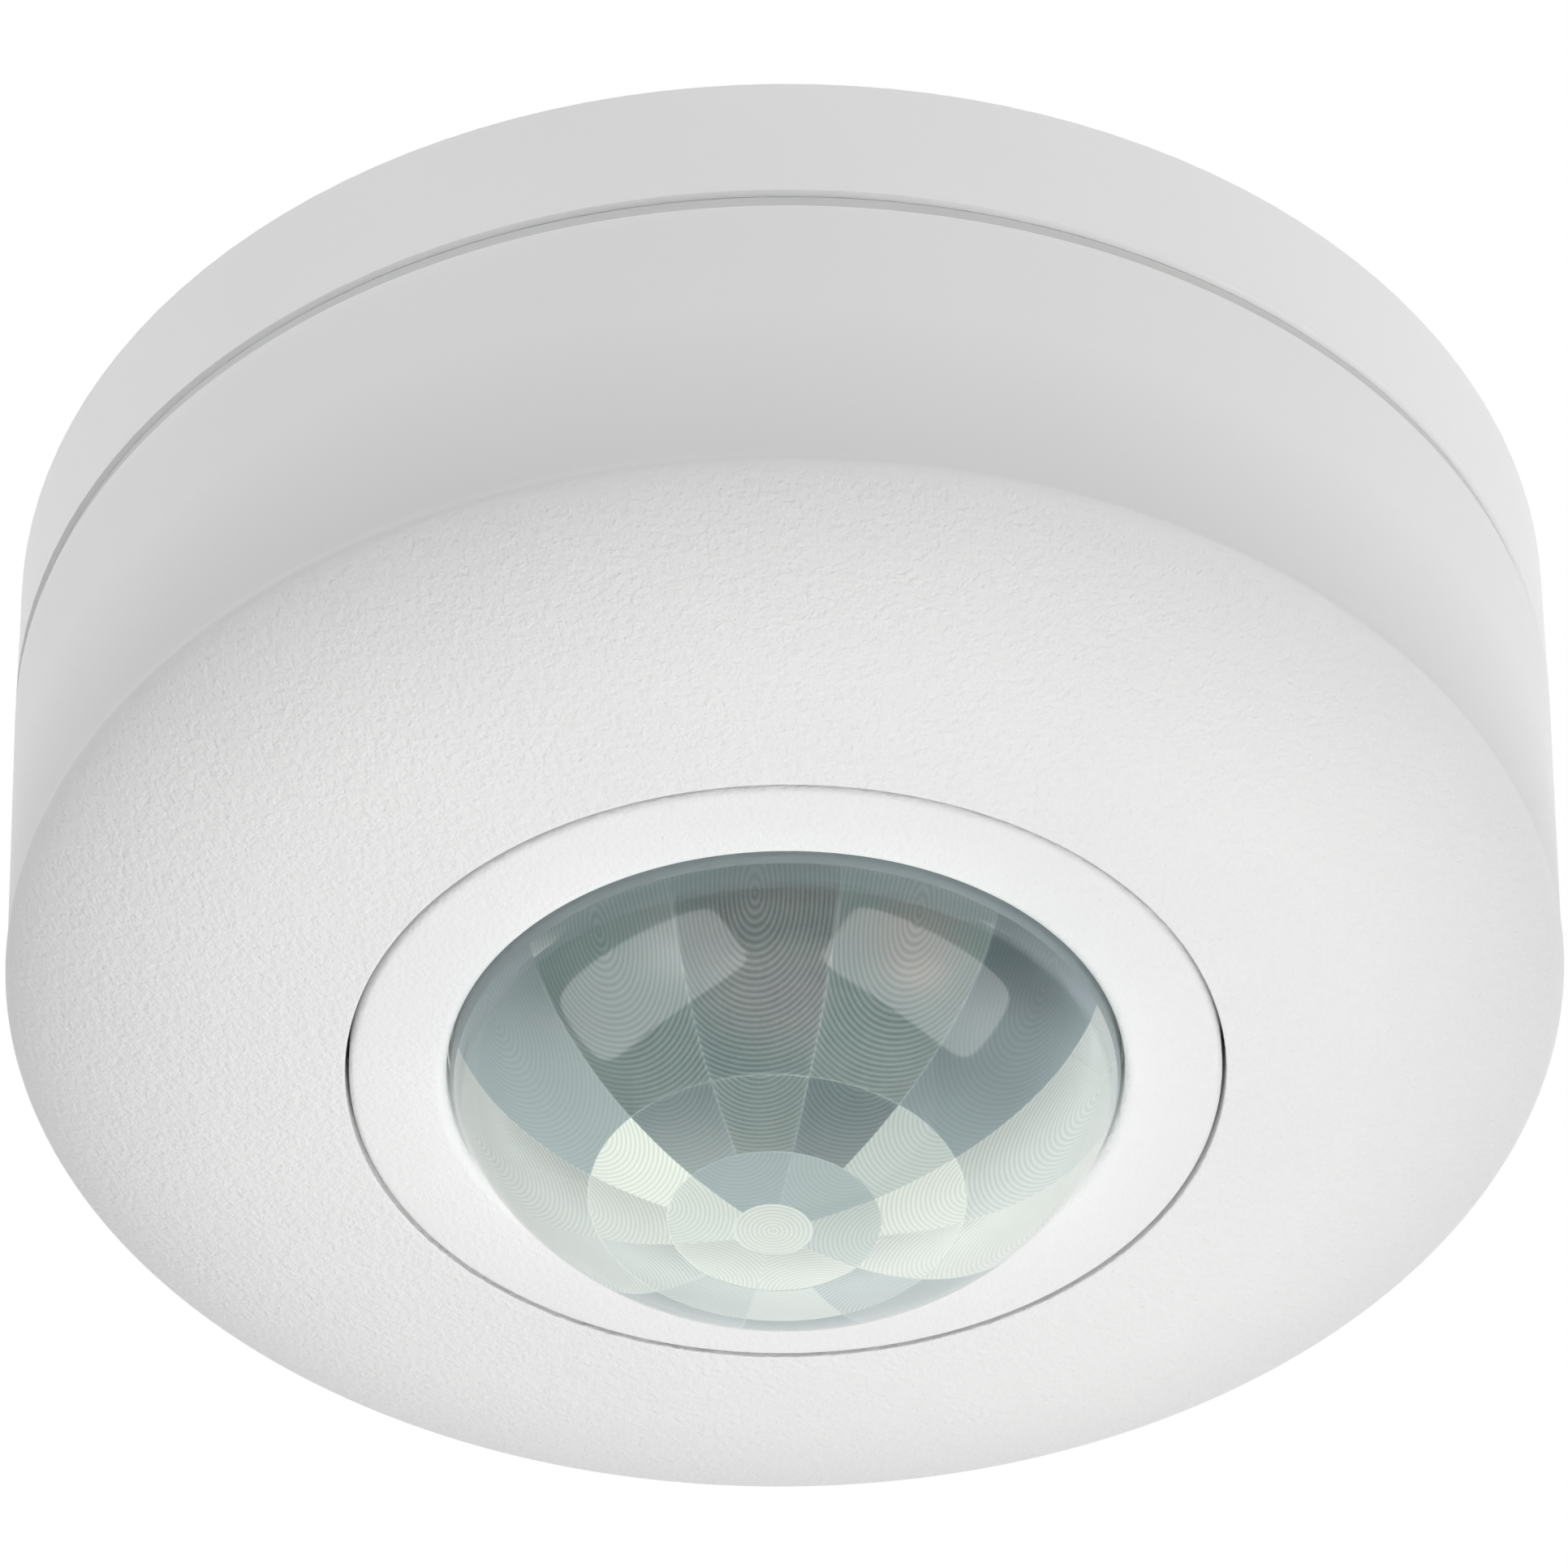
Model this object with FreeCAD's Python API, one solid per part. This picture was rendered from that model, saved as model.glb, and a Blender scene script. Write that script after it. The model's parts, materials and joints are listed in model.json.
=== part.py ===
import FreeCAD, Part
import math
import os

# Surface-mount ceiling motion detector. Millimetres.
# The ceiling is the plane z = 0 and the detector hangs below it, towards -Z.
# "Depth" is the distance below the ceiling, so z = -depth everywhere.

# ---- driving dimensions: what shows from outside ----
BASE_R_CEILING = 51.8       # base rim at the ceiling
BASE_R_RIM = 51.68          # base rim at its lower edge (moulding draft)
BASE_RIM_DEPTH = 10.2
GAP = 1.0                   # shadow gap between base and cover
COVER_TOP = BASE_RIM_DEPTH + GAP
COVER_R_TOP = 51.66
COVER_R_LOW = 51.09         # waist at the foot of the smooth wall
SHOULDER_DEPTH = 32.9       # where the crowned face starts
SHOULDER_R = 51.2
CROWN_R = 24.8              # radius where the crown would level out
CROWN_DROP = 7.27
CROWN_POWER = 1.72          # exponent of the crown's superellipse
FACE_DEPTH = 40.05          # face of the trim ring
RING_R = 28.5
RING_GAP = 0.25             # fine gap round the trim ring
COVER_LIP = 0.45            # rounding of the cover's opening
LENS_R = 21.9
DOME_R = 22.48              # radial half axis of the dome's ellipse
DOME_CENTRE_DEPTH = 36.0
LENS_APEX_DEPTH = 53.1
LENS_WALL = 1.0

# ---- driving dimensions: inside ----
LENS_FLANGE_R = 23.3
LENS_FLANGE_TOP = 34.6
RETAINER_R = 21.7           # white shroud between the sensor board and the lens
RETAINER_BORE_R = 20.7
RETAINER_CLAMP_TOP = 33.4
FLOOR = 2.2                 # base floor thickness
SPIGOT_R = 49.0             # collar of the base that the cover slides over
SPIGOT_WALL = 1.8
SPIGOT_END = 16.0
COVER_BORE_R = 49.2
COVER_SKIN = 2.0
SEAL_R = 51.35
SEAL_GAP = 0.05

SLOT_SPACING = 60.0         # standard flush-box screw spacing
SLOT_LENGTH = 8.0
SLOT_R = 2.1
CABLE_Y = 14.0
CABLE_R = 3.6
GROMMET_HUB_R = 5.6

HEAD_R = 43.0               # inner drum that holds the boards
HEAD_WALL = 1.6
HEAD_TOP = 16.4
HEAD_PLATE_TOP = 32.0
HEAD_PLATE_END = 33.4
TURRET_R = 28.3
NECK_R = 27.5
NECK_TOP = 34.9
TURRET_BORE_R = 26.4
TURRET_PLATE_TOP = 35.7
TURRET_END = 37.0
LENS_HOLE_R = 22.05
RING_BORE_R = 22.15
LIP_REACH = 0.85            # the ring's inner edge rolls in by this much
LIP_FALL = 0.5

REAR_TOP = 15.0
REAR_THICK = 1.4
EAR_RADIUS = 44.7           # where the housing screws stand
EAR_R = 2.4
EAR_END = 18.4
EAR_ANGLES = (30, 150, 270)
CASE_RADIUS = 38.4          # where the case screws stand
CASE_ANGLES = (0, 120, 240)

POWER_TOP = 17.6
POWER_THICK = 1.6
POWER_R = 41.0
POWER_FRONT = POWER_TOP + POWER_THICK
SENSOR_TOP = 25.0
SENSOR_THICK = 1.2
SENSOR_R = 28.0
SENSOR_FRONT = SENSOR_TOP + SENSOR_THICK
SPACER_RADIUS = 18.0
SPACER_ANGLES = (30, 150, 270)
PART_RADIUS = 34.4          # ring on which the tall mains parts stand
HEADER_ANGLE = 210
HEADER_RADIUS = 18.0
PIN_PITCH = 2.54
PIN_COUNT = 6
PIN_SIZE = 0.64

PYRO_SEAT = 27.2            # where the heat sensor's header rests on its holder
PYRO_LEG_RADIUS = 2.54
PYRO_LEG_ANGLES = (0, 120, 240)

CONTROL_RADIUS = 24.8       # knobs and button under the trim ring
LUX_ANGLE = 60
TIME_ANGLE = 180
TEST_ANGLE = 300
CONTROL_HOLE_R = 1.9
CONTROL_HEAD_TOP = 36.15    # clears the lens flange when the button is pressed
CONTROL_HEAD_END = 36.95
KNOB_R = 1.75
SHAFT_R = 1.3
RUNNING = 0.05              # radial clearance of a running fit

POLE_PITCH = 7.5
POLES = (-1, 0, 1)
BLOCK_HALF = 13.4
BLOCK_FRONT = -12.0
BLOCK_BACK = -26.4
BLOCK_TOP = 2.3
BLOCK_END = 14.0
BLADE_Y = -23.15
CLAMP_Y = -16.5
CLAMP_SCREW_R = 1.25

X_AXIS = FreeCAD.Vector(1, 0, 0)
Y_AXIS = FreeCAD.Vector(0, 1, 0)
Z_AXIS = FreeCAD.Vector(0, 0, 1)
ORIGIN = FreeCAD.Vector(0, 0, 0)


# ---- small helpers, all in depths below the ceiling ----
def disc(radius, top, end, x=0.0, y=0.0):
    return Part.makeCylinder(radius, end - top, FreeCAD.Vector(x, y, -end))


def tube(outer, inner, top, end, x=0.0, y=0.0):
    return disc(outer, top, end, x, y).cut(disc(inner, top - 1, end + 1, x, y))


def block(x_size, y_size, top, end, x=0.0, y=0.0):
    corner = FreeCAD.Vector(x - x_size / 2, y - y_size / 2, -end)
    return Part.makeBox(x_size, y_size, end - top, corner)


def section_point(radius, depth):
    return FreeCAD.Vector(radius, 0, -depth)


def line(first, second):
    return Part.LineSegment(first, second).toShape()


def turn_profile(edges):
    """Turns a closed outline in the XZ plane round the Z axis."""
    face = Part.Face(Part.Wire(edges))
    return face.revolve(ORIGIN, Z_AXIS, 360)


def turn_outline(points):
    """Turns a closed outline of (radius, depth) corners round the Z axis."""
    corners = [section_point(radius, depth) for radius, depth in points]
    edges = [line(a, b) for a, b in zip(corners, corners[1:] + corners[:1])]
    return turn_profile(edges)


def smooth_curve(points, pieces):
    """One smooth curve through the points, as a chain of edges."""
    curve = Part.BSplineCurve()
    curve.interpolate(points)
    step = (curve.LastParameter - curve.FirstParameter) / pieces
    ends = [curve.FirstParameter + number * step for number in range(pieces + 1)]
    return [curve.toShape(start, end) for start, end in zip(ends, ends[1:])]


def polar(radius, angle):
    radians = math.radians(angle)
    return radius * math.cos(radians), radius * math.sin(radians)


def stand_at(shape, radius, angle):
    """Turns a shape built on the origin with +X outwards and moves it to its place."""
    placed = shape.copy()
    placed.translate(FreeCAD.Vector(radius, 0, 0))
    placed.rotate(ORIGIN, Z_AXIS, angle)
    return placed


def joined(shapes):
    result = shapes[0]
    for shape in shapes[1:]:
        result = result.fuse(shape)
    return result.removeSplitter()


def without(shape, cutters):
    for cutter in cutters:
        shape = shape.cut(cutter)
    return shape


def slot_prism(length, radius, top, end, x=0.0, y=0.0):
    """Upright slot along X with round ends."""
    reach = length / 2 - radius
    ends = [disc(radius, top, end, x + side * reach, y) for side in (-1, 1)]
    return joined([block(2 * reach, 2 * radius, top, end, x, y)] + ends)


def save(name, shape):
    solids = shape.Solids
    result = solids[0] if len(solids) == 1 else Part.makeCompound(solids)
    result.exportStep("parts/" + name + ".step")


# ---- base on the ceiling ----
def surface_base():
    rim_round = 0.3
    pocket_depth = 0.8
    shell = turn_outline([
        (0, 0), (BASE_R_CEILING - rim_round, 0), (BASE_R_CEILING, rim_round),
        (BASE_R_RIM, BASE_RIM_DEPTH - rim_round), (BASE_R_RIM - rim_round, BASE_RIM_DEPTH),
        (SPIGOT_R, BASE_RIM_DEPTH), (SPIGOT_R, SPIGOT_END - 0.6), (SPIGOT_R - 0.6, SPIGOT_END),
        (SPIGOT_R - SPIGOT_WALL, SPIGOT_END), (SPIGOT_R - SPIGOT_WALL, FLOOR), (0, FLOOR)])
    posts = [disc(EAR_R, FLOOR, REAR_TOP - 0.1, *polar(EAR_RADIUS, angle)) for angle in EAR_ANGLES]
    slot_bosses = [slot_prism(SLOT_LENGTH + 5, SLOT_R + 2.5, FLOOR, FLOOR + 1.4, side * SLOT_SPACING / 2)
                   for side in (-1, 1)]
    cable_collar = disc(GROMMET_HUB_R + 2.4, FLOOR, FLOOR + 1.0, 0, CABLE_Y)
    ribs = [stand_at(block(14.0, 1.6, FLOOR, FLOOR + 2.0), 40.4, angle) for angle in (60, 120, 240, 300)]
    shell = joined([shell] + posts + slot_bosses + [cable_collar] + ribs)
    screw_holes = [disc(1.3, 6.0, REAR_TOP, *polar(EAR_RADIUS, angle)) for angle in EAR_ANGLES]
    slots = [slot_prism(SLOT_LENGTH, SLOT_R, -1, FLOOR + 3, side * SLOT_SPACING / 2) for side in (-1, 1)]
    slot_sinks = [slot_prism(SLOT_LENGTH + 3, SLOT_R + 1.5, FLOOR + 0.4, FLOOR + 3, side * SLOT_SPACING / 2)
                  for side in (-1, 1)]
    cable_hole = disc(GROMMET_HUB_R, -1, FLOOR + 2, 0, CABLE_Y)
    back_groove = tube(47.6, 39.0, -1, pocket_depth)
    groove_ribs = [stand_at(block(10.0, 1.8, 0, pocket_depth), 43.3, 15 + 30 * step) for step in range(12)]
    shell = without(shell, screw_holes + slots + slot_sinks + [cable_hole, back_groove])
    knockouts = [stand_at(tube(4.6, 3.9, FLOOR - 0.9, FLOOR + 1), 26.0, angle) for angle in (45, 135)]
    return joined([without(shell, knockouts)] + groove_ribs)


def seal_ring():
    return turn_outline([
        (SPIGOT_R, BASE_RIM_DEPTH), (SEAL_R - 0.25, BASE_RIM_DEPTH), (SEAL_R, BASE_RIM_DEPTH + 0.25),
        (SEAL_R, COVER_TOP - SEAL_GAP - 0.25), (SEAL_R - 0.25, COVER_TOP - SEAL_GAP),
        (COVER_BORE_R + 0.1, COVER_TOP - SEAL_GAP), (SPIGOT_R, COVER_TOP - SEAL_GAP)])


def cable_grommet():
    """Rubber bush with a groove that grips the base floor and a fluted entry."""
    hub = disc(GROMMET_HUB_R - 0.05, 0.1, 5.0, 0, CABLE_Y)
    lip = disc(GROMMET_HUB_R + 1.6, FLOOR + 1.0, FLOOR + 2.2, 0, CABLE_Y)
    bore = disc(CABLE_R, -1, 6.0, 0, CABLE_Y)
    mouth = Part.makeCone(CABLE_R, CABLE_R + 1.2, 1.2, FreeCAD.Vector(0, CABLE_Y, -1.3))
    return without(joined([hub, lip]), [bore, mouth])


# ---- terminal block ----
def pole_x(pole):
    return pole * POLE_PITCH


def terminal_block():
    body = block(2 * BLOCK_HALF, BLOCK_FRONT - BLOCK_BACK, BLOCK_TOP, BLOCK_END,
                 0, (BLOCK_FRONT + BLOCK_BACK) / 2)
    body = body.makeChamfer(0.4, [edge for edge in body.Edges if edge.BoundBox.ZLength > 5])
    cutters = []
    for pole in POLES:
        x = pole_x(pole)
        cutters.append(block(5.8, 5.2, 4.2, 12.0, x, CLAMP_Y))
        cutters.append(disc(1.6, 11.0, BLOCK_END, x, CLAMP_Y))
        cutters.append(disc(2.3, 12.6, BLOCK_END + 1, x, CLAMP_Y))
        cutters.append(Part.makeCylinder(1.7, 4, FreeCAD.Vector(x, BLOCK_FRONT + 1, -6.0), -Y_AXIS))
        cutters.append(block(3.5, 6.2, 7.4, 8.4, x, -21.5))
        cutters.append(block(3.6, 2.0, 7.4, BLOCK_END + 1, x, -23.6))
    for gap in (-0.5, 0.5):
        cutters.append(block(0.8, 4.0, 9.0, BLOCK_END + 1, gap * POLE_PITCH, BLOCK_FRONT))
    return without(body, cutters)


def busbars():
    bars = []
    for pole in POLES:
        strip = block(3.2, 10.2, 7.5, 8.3, pole_x(pole), -19.3)
        lug = block(3.2, 0.8, 8.3, 12.0, pole_x(pole), -24.0)
        bars.append(joined([strip, lug]))
    return Part.makeCompound(bars)


def terminal_screw(pole):
    x = pole_x(pole)
    shank = disc(CLAMP_SCREW_R, 8.7, 12.7, x, CLAMP_Y)
    head = disc(2.15, 12.65, 13.9, x, CLAMP_Y)
    slot = block(5.0, 0.6, 13.2, 14.5, x, CLAMP_Y)
    return joined([shank, head]).cut(slot)


def clamp_cage(pole):
    x = pole_x(pole)
    frame = block(5.2, 4.4, 6.6, 11.9, x, CLAMP_Y)
    window = block(3.8, 6.0, 7.4, 10.7, x, CLAMP_Y)
    thread = disc(CLAMP_SCREW_R + RUNNING, 10.0, 12.5, x, CLAMP_Y)
    return without(frame, [window, thread])


# ---- inner drum ----
def sensor_housing():
    shell = turn_outline([
        (HEAD_R, HEAD_TOP), (HEAD_R, HEAD_PLATE_END - 0.8), (HEAD_R - 0.8, HEAD_PLATE_END),
        (TURRET_R, HEAD_PLATE_END), (TURRET_R, NECK_TOP), (NECK_R, NECK_TOP),
        (NECK_R, TURRET_END - 0.3), (NECK_R - 0.3, TURRET_END), (LENS_HOLE_R, TURRET_END),
        (LENS_HOLE_R, TURRET_PLATE_TOP), (TURRET_BORE_R, TURRET_PLATE_TOP),
        (TURRET_BORE_R, HEAD_PLATE_TOP), (HEAD_R - HEAD_WALL, HEAD_PLATE_TOP), (HEAD_R - HEAD_WALL, HEAD_TOP)])
    ears = []
    for angle in EAR_ANGLES:
        ears.append(disc(EAR_R, REAR_TOP, EAR_END, *polar(EAR_RADIUS, angle)))
        ears.append(stand_at(block(2.6, 2 * EAR_R, HEAD_TOP, EAR_END), EAR_RADIUS - 1.4, angle))
    bosses = [disc(2.6, POWER_FRONT, HEAD_PLATE_TOP, *polar(CASE_RADIUS, angle)) for angle in CASE_ANGLES]
    shell = joined([shell] + ears + bosses)
    ear_holes = [disc(1.4, REAR_TOP - 1, 19.0, *polar(EAR_RADIUS, angle)) for angle in EAR_ANGLES]
    driver_channels = [disc(EAR_R + RUNNING, EAR_END, TURRET_END, *polar(EAR_RADIUS, angle))
                       for angle in EAR_ANGLES]
    boss_holes = [disc(1.5, POWER_TOP, 28.0, *polar(CASE_RADIUS, angle)) for angle in CASE_ANGLES]
    rear_seats = [disc(2.5, REAR_TOP - 1, HEAD_TOP - 0.01, *polar(EAR_RADIUS, angle)) for angle in EAR_ANGLES]
    rear_trims = [seat.common(disc(HEAD_R, REAR_TOP - 1, HEAD_TOP)) for seat in rear_seats]
    control_holes = [disc(CONTROL_HOLE_R, TURRET_PLATE_TOP - 1, TURRET_END + 1, *polar(CONTROL_RADIUS, angle))
                     for angle in (LUX_ANGLE, TIME_ANGLE, TEST_ANGLE)]
    return without(shell, ear_holes + driver_channels + boss_holes + rear_trims + control_holes)


def rear_cover():
    plate = disc(HEAD_R, REAR_TOP, REAR_TOP + REAR_THICK)
    rim = tube(HEAD_R - HEAD_WALL - 0.1, HEAD_R - HEAD_WALL - 1.1, REAR_TOP + REAR_THICK, POWER_TOP)
    pads = [disc(2.6, REAR_TOP + REAR_THICK, POWER_TOP, *polar(CASE_RADIUS, angle)) for angle in CASE_ANGLES]
    holes = [disc(1.5, REAR_TOP - 1, POWER_TOP + 1, *polar(CASE_RADIUS, angle)) for angle in CASE_ANGLES]
    ear_notches = [disc(2.7, REAR_TOP - 1, HEAD_TOP + 1, *polar(EAR_RADIUS, angle)) for angle in EAR_ANGLES]
    blade_slots = [block(3.4, 1.6, REAR_TOP - 1, POWER_TOP + 1, pole_x(pole), BLADE_Y) for pole in POLES]
    cover_ribs = [block(70.0, 1.2, REAR_TOP - 0.8, REAR_TOP, 0, y) for y in (8.0, 26.0)]
    return without(joined([plate, rim] + pads + cover_ribs), holes + ear_notches + blade_slots)


def screw(radius, head_radius, head_height, head_start, tip):
    """Pan-head screw; a tip nearer the ceiling than its head points upwards."""
    direction = 1 if tip > head_start else -1
    head_end = head_start + direction * head_height
    head = disc(head_radius, min(head_start, head_end), max(head_start, head_end))
    shank = disc(radius, min(head_end, tip), max(head_end, tip))
    outer_half = head_start + direction * head_height * 0.45
    recess_top = min(head_start - direction, outer_half)
    recess_end = max(head_start - direction, outer_half)
    recess = joined([block(head_radius * 1.1, 0.6, recess_top, recess_end),
                     block(0.6, head_radius * 1.1, recess_top, recess_end)])
    return joined([head, shank]).cut(recess)


def ring_of(piece, radius, angles):
    return Part.makeCompound([stand_at(piece, radius, angle) for angle in angles])


def housing_screws():
    return ring_of(screw(1.25, 2.3, 1.7, EAR_END + 1.7, 7.0), EAR_RADIUS, EAR_ANGLES)


def case_screws():
    return ring_of(screw(1.45, 2.4, 0.9, REAR_TOP - 0.9, 26.0), CASE_RADIUS, CASE_ANGLES)


# ---- power board ----
def power_board():
    plate = disc(POWER_R, POWER_TOP, POWER_FRONT)
    holes = [disc(1.6, POWER_TOP - 1, POWER_FRONT + 1, *polar(CASE_RADIUS, angle)) for angle in CASE_ANGLES]
    notches = [disc(2.8, POWER_TOP - 1, POWER_FRONT + 1, *polar(EAR_RADIUS - 0.4, angle))
               for angle in EAR_ANGLES]
    return without(plate, holes + notches)


def supply_blades():
    return Part.makeCompound([block(2.6, 0.8, 9.0, POWER_TOP, pole_x(pole), BLADE_Y) for pole in POLES])


def rounded_block(x_size, y_size, top, end, radius):
    body = block(x_size, y_size, top, end)
    return body.makeFillet(radius, [edge for edge in body.Edges if edge.BoundBox.ZLength > (end - top) / 2])


def relay():
    body = rounded_block(10.0, 20.0, POWER_FRONT, POWER_FRONT + 12.2, 0.6)
    vent = disc(0.6, POWER_FRONT + 11.8, POWER_FRONT + 13, 3.4, 8.2)
    return stand_at(body.cut(vent), PART_RADIUS, 90)


def transformer_core():
    outer = block(9.0, 16.0, POWER_FRONT + 2.0, POWER_FRONT + 12.0)
    windows = [block(10.0, 3.4, POWER_FRONT + 4.4, POWER_FRONT + 9.6, 0, side * 4.2) for side in (-1, 1)]
    return stand_at(without(outer, windows), PART_RADIUS, 270)


def transformer_coil():
    reel = block(11.4, 11.6, POWER_FRONT + 4.5, POWER_FRONT + 9.5)
    core_leg = block(9.1, 5.1, POWER_FRONT + 4.0, POWER_FRONT + 10.0)
    core_back = [block(9.1, 3.0, POWER_FRONT + 4.0, POWER_FRONT + 10.0, 0, side * 7.4) for side in (-1, 1)]
    feet = [block(1.0, 8.0, POWER_FRONT, POWER_FRONT + 4.5, side * 5.1, 0) for side in (-1, 1)]
    return stand_at(without(joined([reel] + feet), [core_leg] + core_back), PART_RADIUS, 270)


def mains_capacitor():
    return stand_at(rounded_block(6.0, 13.0, POWER_FRONT, POWER_FRONT + 11.5, 0.5), PART_RADIUS, 34)


def can_capacitor(radius, height, angle):
    body = disc(radius, POWER_FRONT, POWER_FRONT + height)
    crimp = tube(radius + 1, radius - 0.4, POWER_FRONT + 1.4, POWER_FRONT + 2.1)
    vent = joined([block(radius, 0.3, POWER_FRONT + height - 0.3, POWER_FRONT + height + 1),
                   block(0.3, radius, POWER_FRONT + height - 0.3, POWER_FRONT + height + 1)])
    return stand_at(without(body, [crimp, vent]), PART_RADIUS, angle)


def varistor():
    pill = Part.makeCylinder(4.8, 3.6, FreeCAD.Vector(-1.8, 0, -(POWER_FRONT + 6.2)), X_AXIS)
    pill = pill.makeFillet(1.2, [edge for edge in pill.Edges if edge.Closed and edge.Length > 20])
    legs = [disc(0.35, POWER_FRONT, POWER_FRONT + 2.6, 0, side * 2.5) for side in (-1, 1)]
    return stand_at(joined([pill] + legs), PART_RADIUS, 326)


def fuse():
    body = disc(4.1, POWER_FRONT, POWER_FRONT + 7.6)
    return stand_at(body.makeFillet(0.6, [body.Edges[0]]), PART_RADIUS, 303)


def choke_core():
    post = disc(1.9, POWER_FRONT, POWER_FRONT + 9.0)
    flanges = [disc(3.8, POWER_FRONT, POWER_FRONT + 1.2), disc(3.8, POWER_FRONT + 7.8, POWER_FRONT + 9.0)]
    return stand_at(joined([post] + flanges), PART_RADIUS, 148)


def choke_coil():
    return stand_at(tube(3.3, 1.95, POWER_FRONT + 1.25, POWER_FRONT + 7.75), PART_RADIUS, 148)


def bridge_rectifier():
    body = block(6.4, 8.2, POWER_FRONT + 0.6, POWER_FRONT + 3.4)
    legs = [block(0.5, 0.6, POWER_FRONT, POWER_FRONT + 0.8, x * 2.6, y * 2.5)
            for x in (-1, 1) for y in (-1, 1)]
    return stand_at(joined([body] + legs), 12.0, 95)


# ---- sensor board ----
def board_spacers():
    return ring_of(tube(2.4, 1.35, POWER_FRONT, SENSOR_TOP), SPACER_RADIUS, SPACER_ANGLES)


def board_screws():
    return ring_of(screw(1.25, 2.3, 1.4, SENSOR_FRONT + 1.4, POWER_FRONT + 1.0), SPACER_RADIUS, SPACER_ANGLES)


def pin_row(size, top, end):
    first = -(PIN_COUNT - 1) / 2
    return [block(size, size, top, end, 0, (first + step) * PIN_PITCH) for step in range(PIN_COUNT)]


def header_strip(top, end):
    body = block(2.5, PIN_COUNT * PIN_PITCH, top, end)
    return stand_at(without(body, pin_row(PIN_SIZE + 0.1, top - 1, end + 1)), HEADER_RADIUS, HEADER_ANGLE)


def header_pins():
    pins = Part.makeCompound(pin_row(PIN_SIZE, POWER_FRONT, SENSOR_TOP - 0.4))
    return stand_at(pins, HEADER_RADIUS, HEADER_ANGLE)


def pyro_legs(radius, top, end):
    return [disc(radius, top, end, *polar(PYRO_LEG_RADIUS, angle)) for angle in PYRO_LEG_ANGLES]


def sensor_board():
    plate = disc(SENSOR_R, SENSOR_TOP, SENSOR_FRONT)
    screws = [disc(1.4, SENSOR_TOP - 1, SENSOR_FRONT + 1, *polar(SPACER_RADIUS, angle))
              for angle in SPACER_ANGLES]
    return without(plate, screws + pyro_legs(0.35, SENSOR_TOP - 1, SENSOR_FRONT + 1))


def processor():
    body = block(7.0, 7.0, SENSOR_TOP - 1.1, SENSOR_TOP)
    dot = disc(0.4, SENSOR_TOP - 2, SENSOR_TOP - 0.95, 2.6, 2.6)
    return stand_at(body.cut(dot), 10.0, 20)


def sensor_holder():
    collar = disc(4.9, SENSOR_FRONT, PYRO_SEAT)
    return without(collar, pyro_legs(0.35, SENSOR_FRONT - 1, PYRO_SEAT + 1))


def pyro_header():
    return joined([disc(4.6, PYRO_SEAT, PYRO_SEAT + 0.7)] + pyro_legs(0.23, SENSOR_TOP - 0.8, PYRO_SEAT + 0.2))


def pyro_can():
    brim = tube(4.5, 3.9, PYRO_SEAT + 0.7, PYRO_SEAT + 1.1)
    wall = tube(4.15, 3.9, PYRO_SEAT + 1.1, PYRO_SEAT + 3.8)
    top = disc(4.15, PYRO_SEAT + 3.55, PYRO_SEAT + 3.8)
    aperture = block(3.6, 2.6, PYRO_SEAT + 3, PYRO_SEAT + 5)
    return joined([brim, wall, top]).cut(aperture)


def pyro_window():
    return block(4.4, 3.4, PYRO_SEAT + 3.15, PYRO_SEAT + 3.55)


def round_lamp(radius, height, angle):
    """Lamp or light sensor in a clear 3 mm capsule with a collar."""
    body = disc(radius, SENSOR_FRONT, SENSOR_FRONT + height)
    dome = Part.makeSphere(radius, FreeCAD.Vector(0, 0, -(SENSOR_FRONT + height)))
    collar = disc(radius + 0.35, SENSOR_FRONT, SENSOR_FRONT + 0.9)
    return stand_at(joined([body, dome, collar]), 8.6, angle)


def lens_retainer():
    """White shroud that stands on the board and clamps the lens flange."""
    shroud = tube(RETAINER_R, RETAINER_BORE_R, SENSOR_FRONT, LENS_FLANGE_TOP - RUNNING)
    clamp = tube(LENS_FLANGE_R, RETAINER_BORE_R, RETAINER_CLAMP_TOP, LENS_FLANGE_TOP - RUNNING)
    return joined([shroud, clamp])


def dome_curve(rim_r, skin):
    """Points of one face of the dome, from its rim to its apex: a quarter of an ellipse."""
    half_r = DOME_R - skin
    half_depth = LENS_APEX_DEPTH - DOME_CENTRE_DEPTH - skin
    start = math.acos(rim_r / half_r)
    steps = 12
    points = []
    for step in range(steps):
        angle = start + (math.pi / 2 - start) * step / steps
        points.append(section_point(half_r * math.cos(angle), DOME_CENTRE_DEPTH + half_depth * math.sin(angle)))
    return points + [section_point(0, DOME_CENTRE_DEPTH + half_depth)]


def fresnel_lens():
    """Domed lens: half an ellipsoid on a short skirt with a clamping flange."""
    inner_r = LENS_R - LENS_WALL
    outer = dome_curve(LENS_R, 0.0)
    inner = dome_curve(inner_r, LENS_WALL)
    flange_end = TURRET_PLATE_TOP - RUNNING
    edges = [
        line(section_point(LENS_FLANGE_R, LENS_FLANGE_TOP), section_point(LENS_FLANGE_R, flange_end)),
        line(section_point(LENS_FLANGE_R, flange_end), section_point(LENS_R, flange_end)),
        line(section_point(LENS_R, flange_end), outer[0])]
    edges += smooth_curve(outer, 2)
    edges.append(line(outer[-1], inner[-1]))
    edges += smooth_curve(inner[::-1], 2)
    edges += [
        line(inner[0], section_point(inner_r, LENS_FLANGE_TOP)),
        line(section_point(inner_r, LENS_FLANGE_TOP), section_point(LENS_FLANGE_R, LENS_FLANGE_TOP))]
    return turn_profile(edges)


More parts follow.
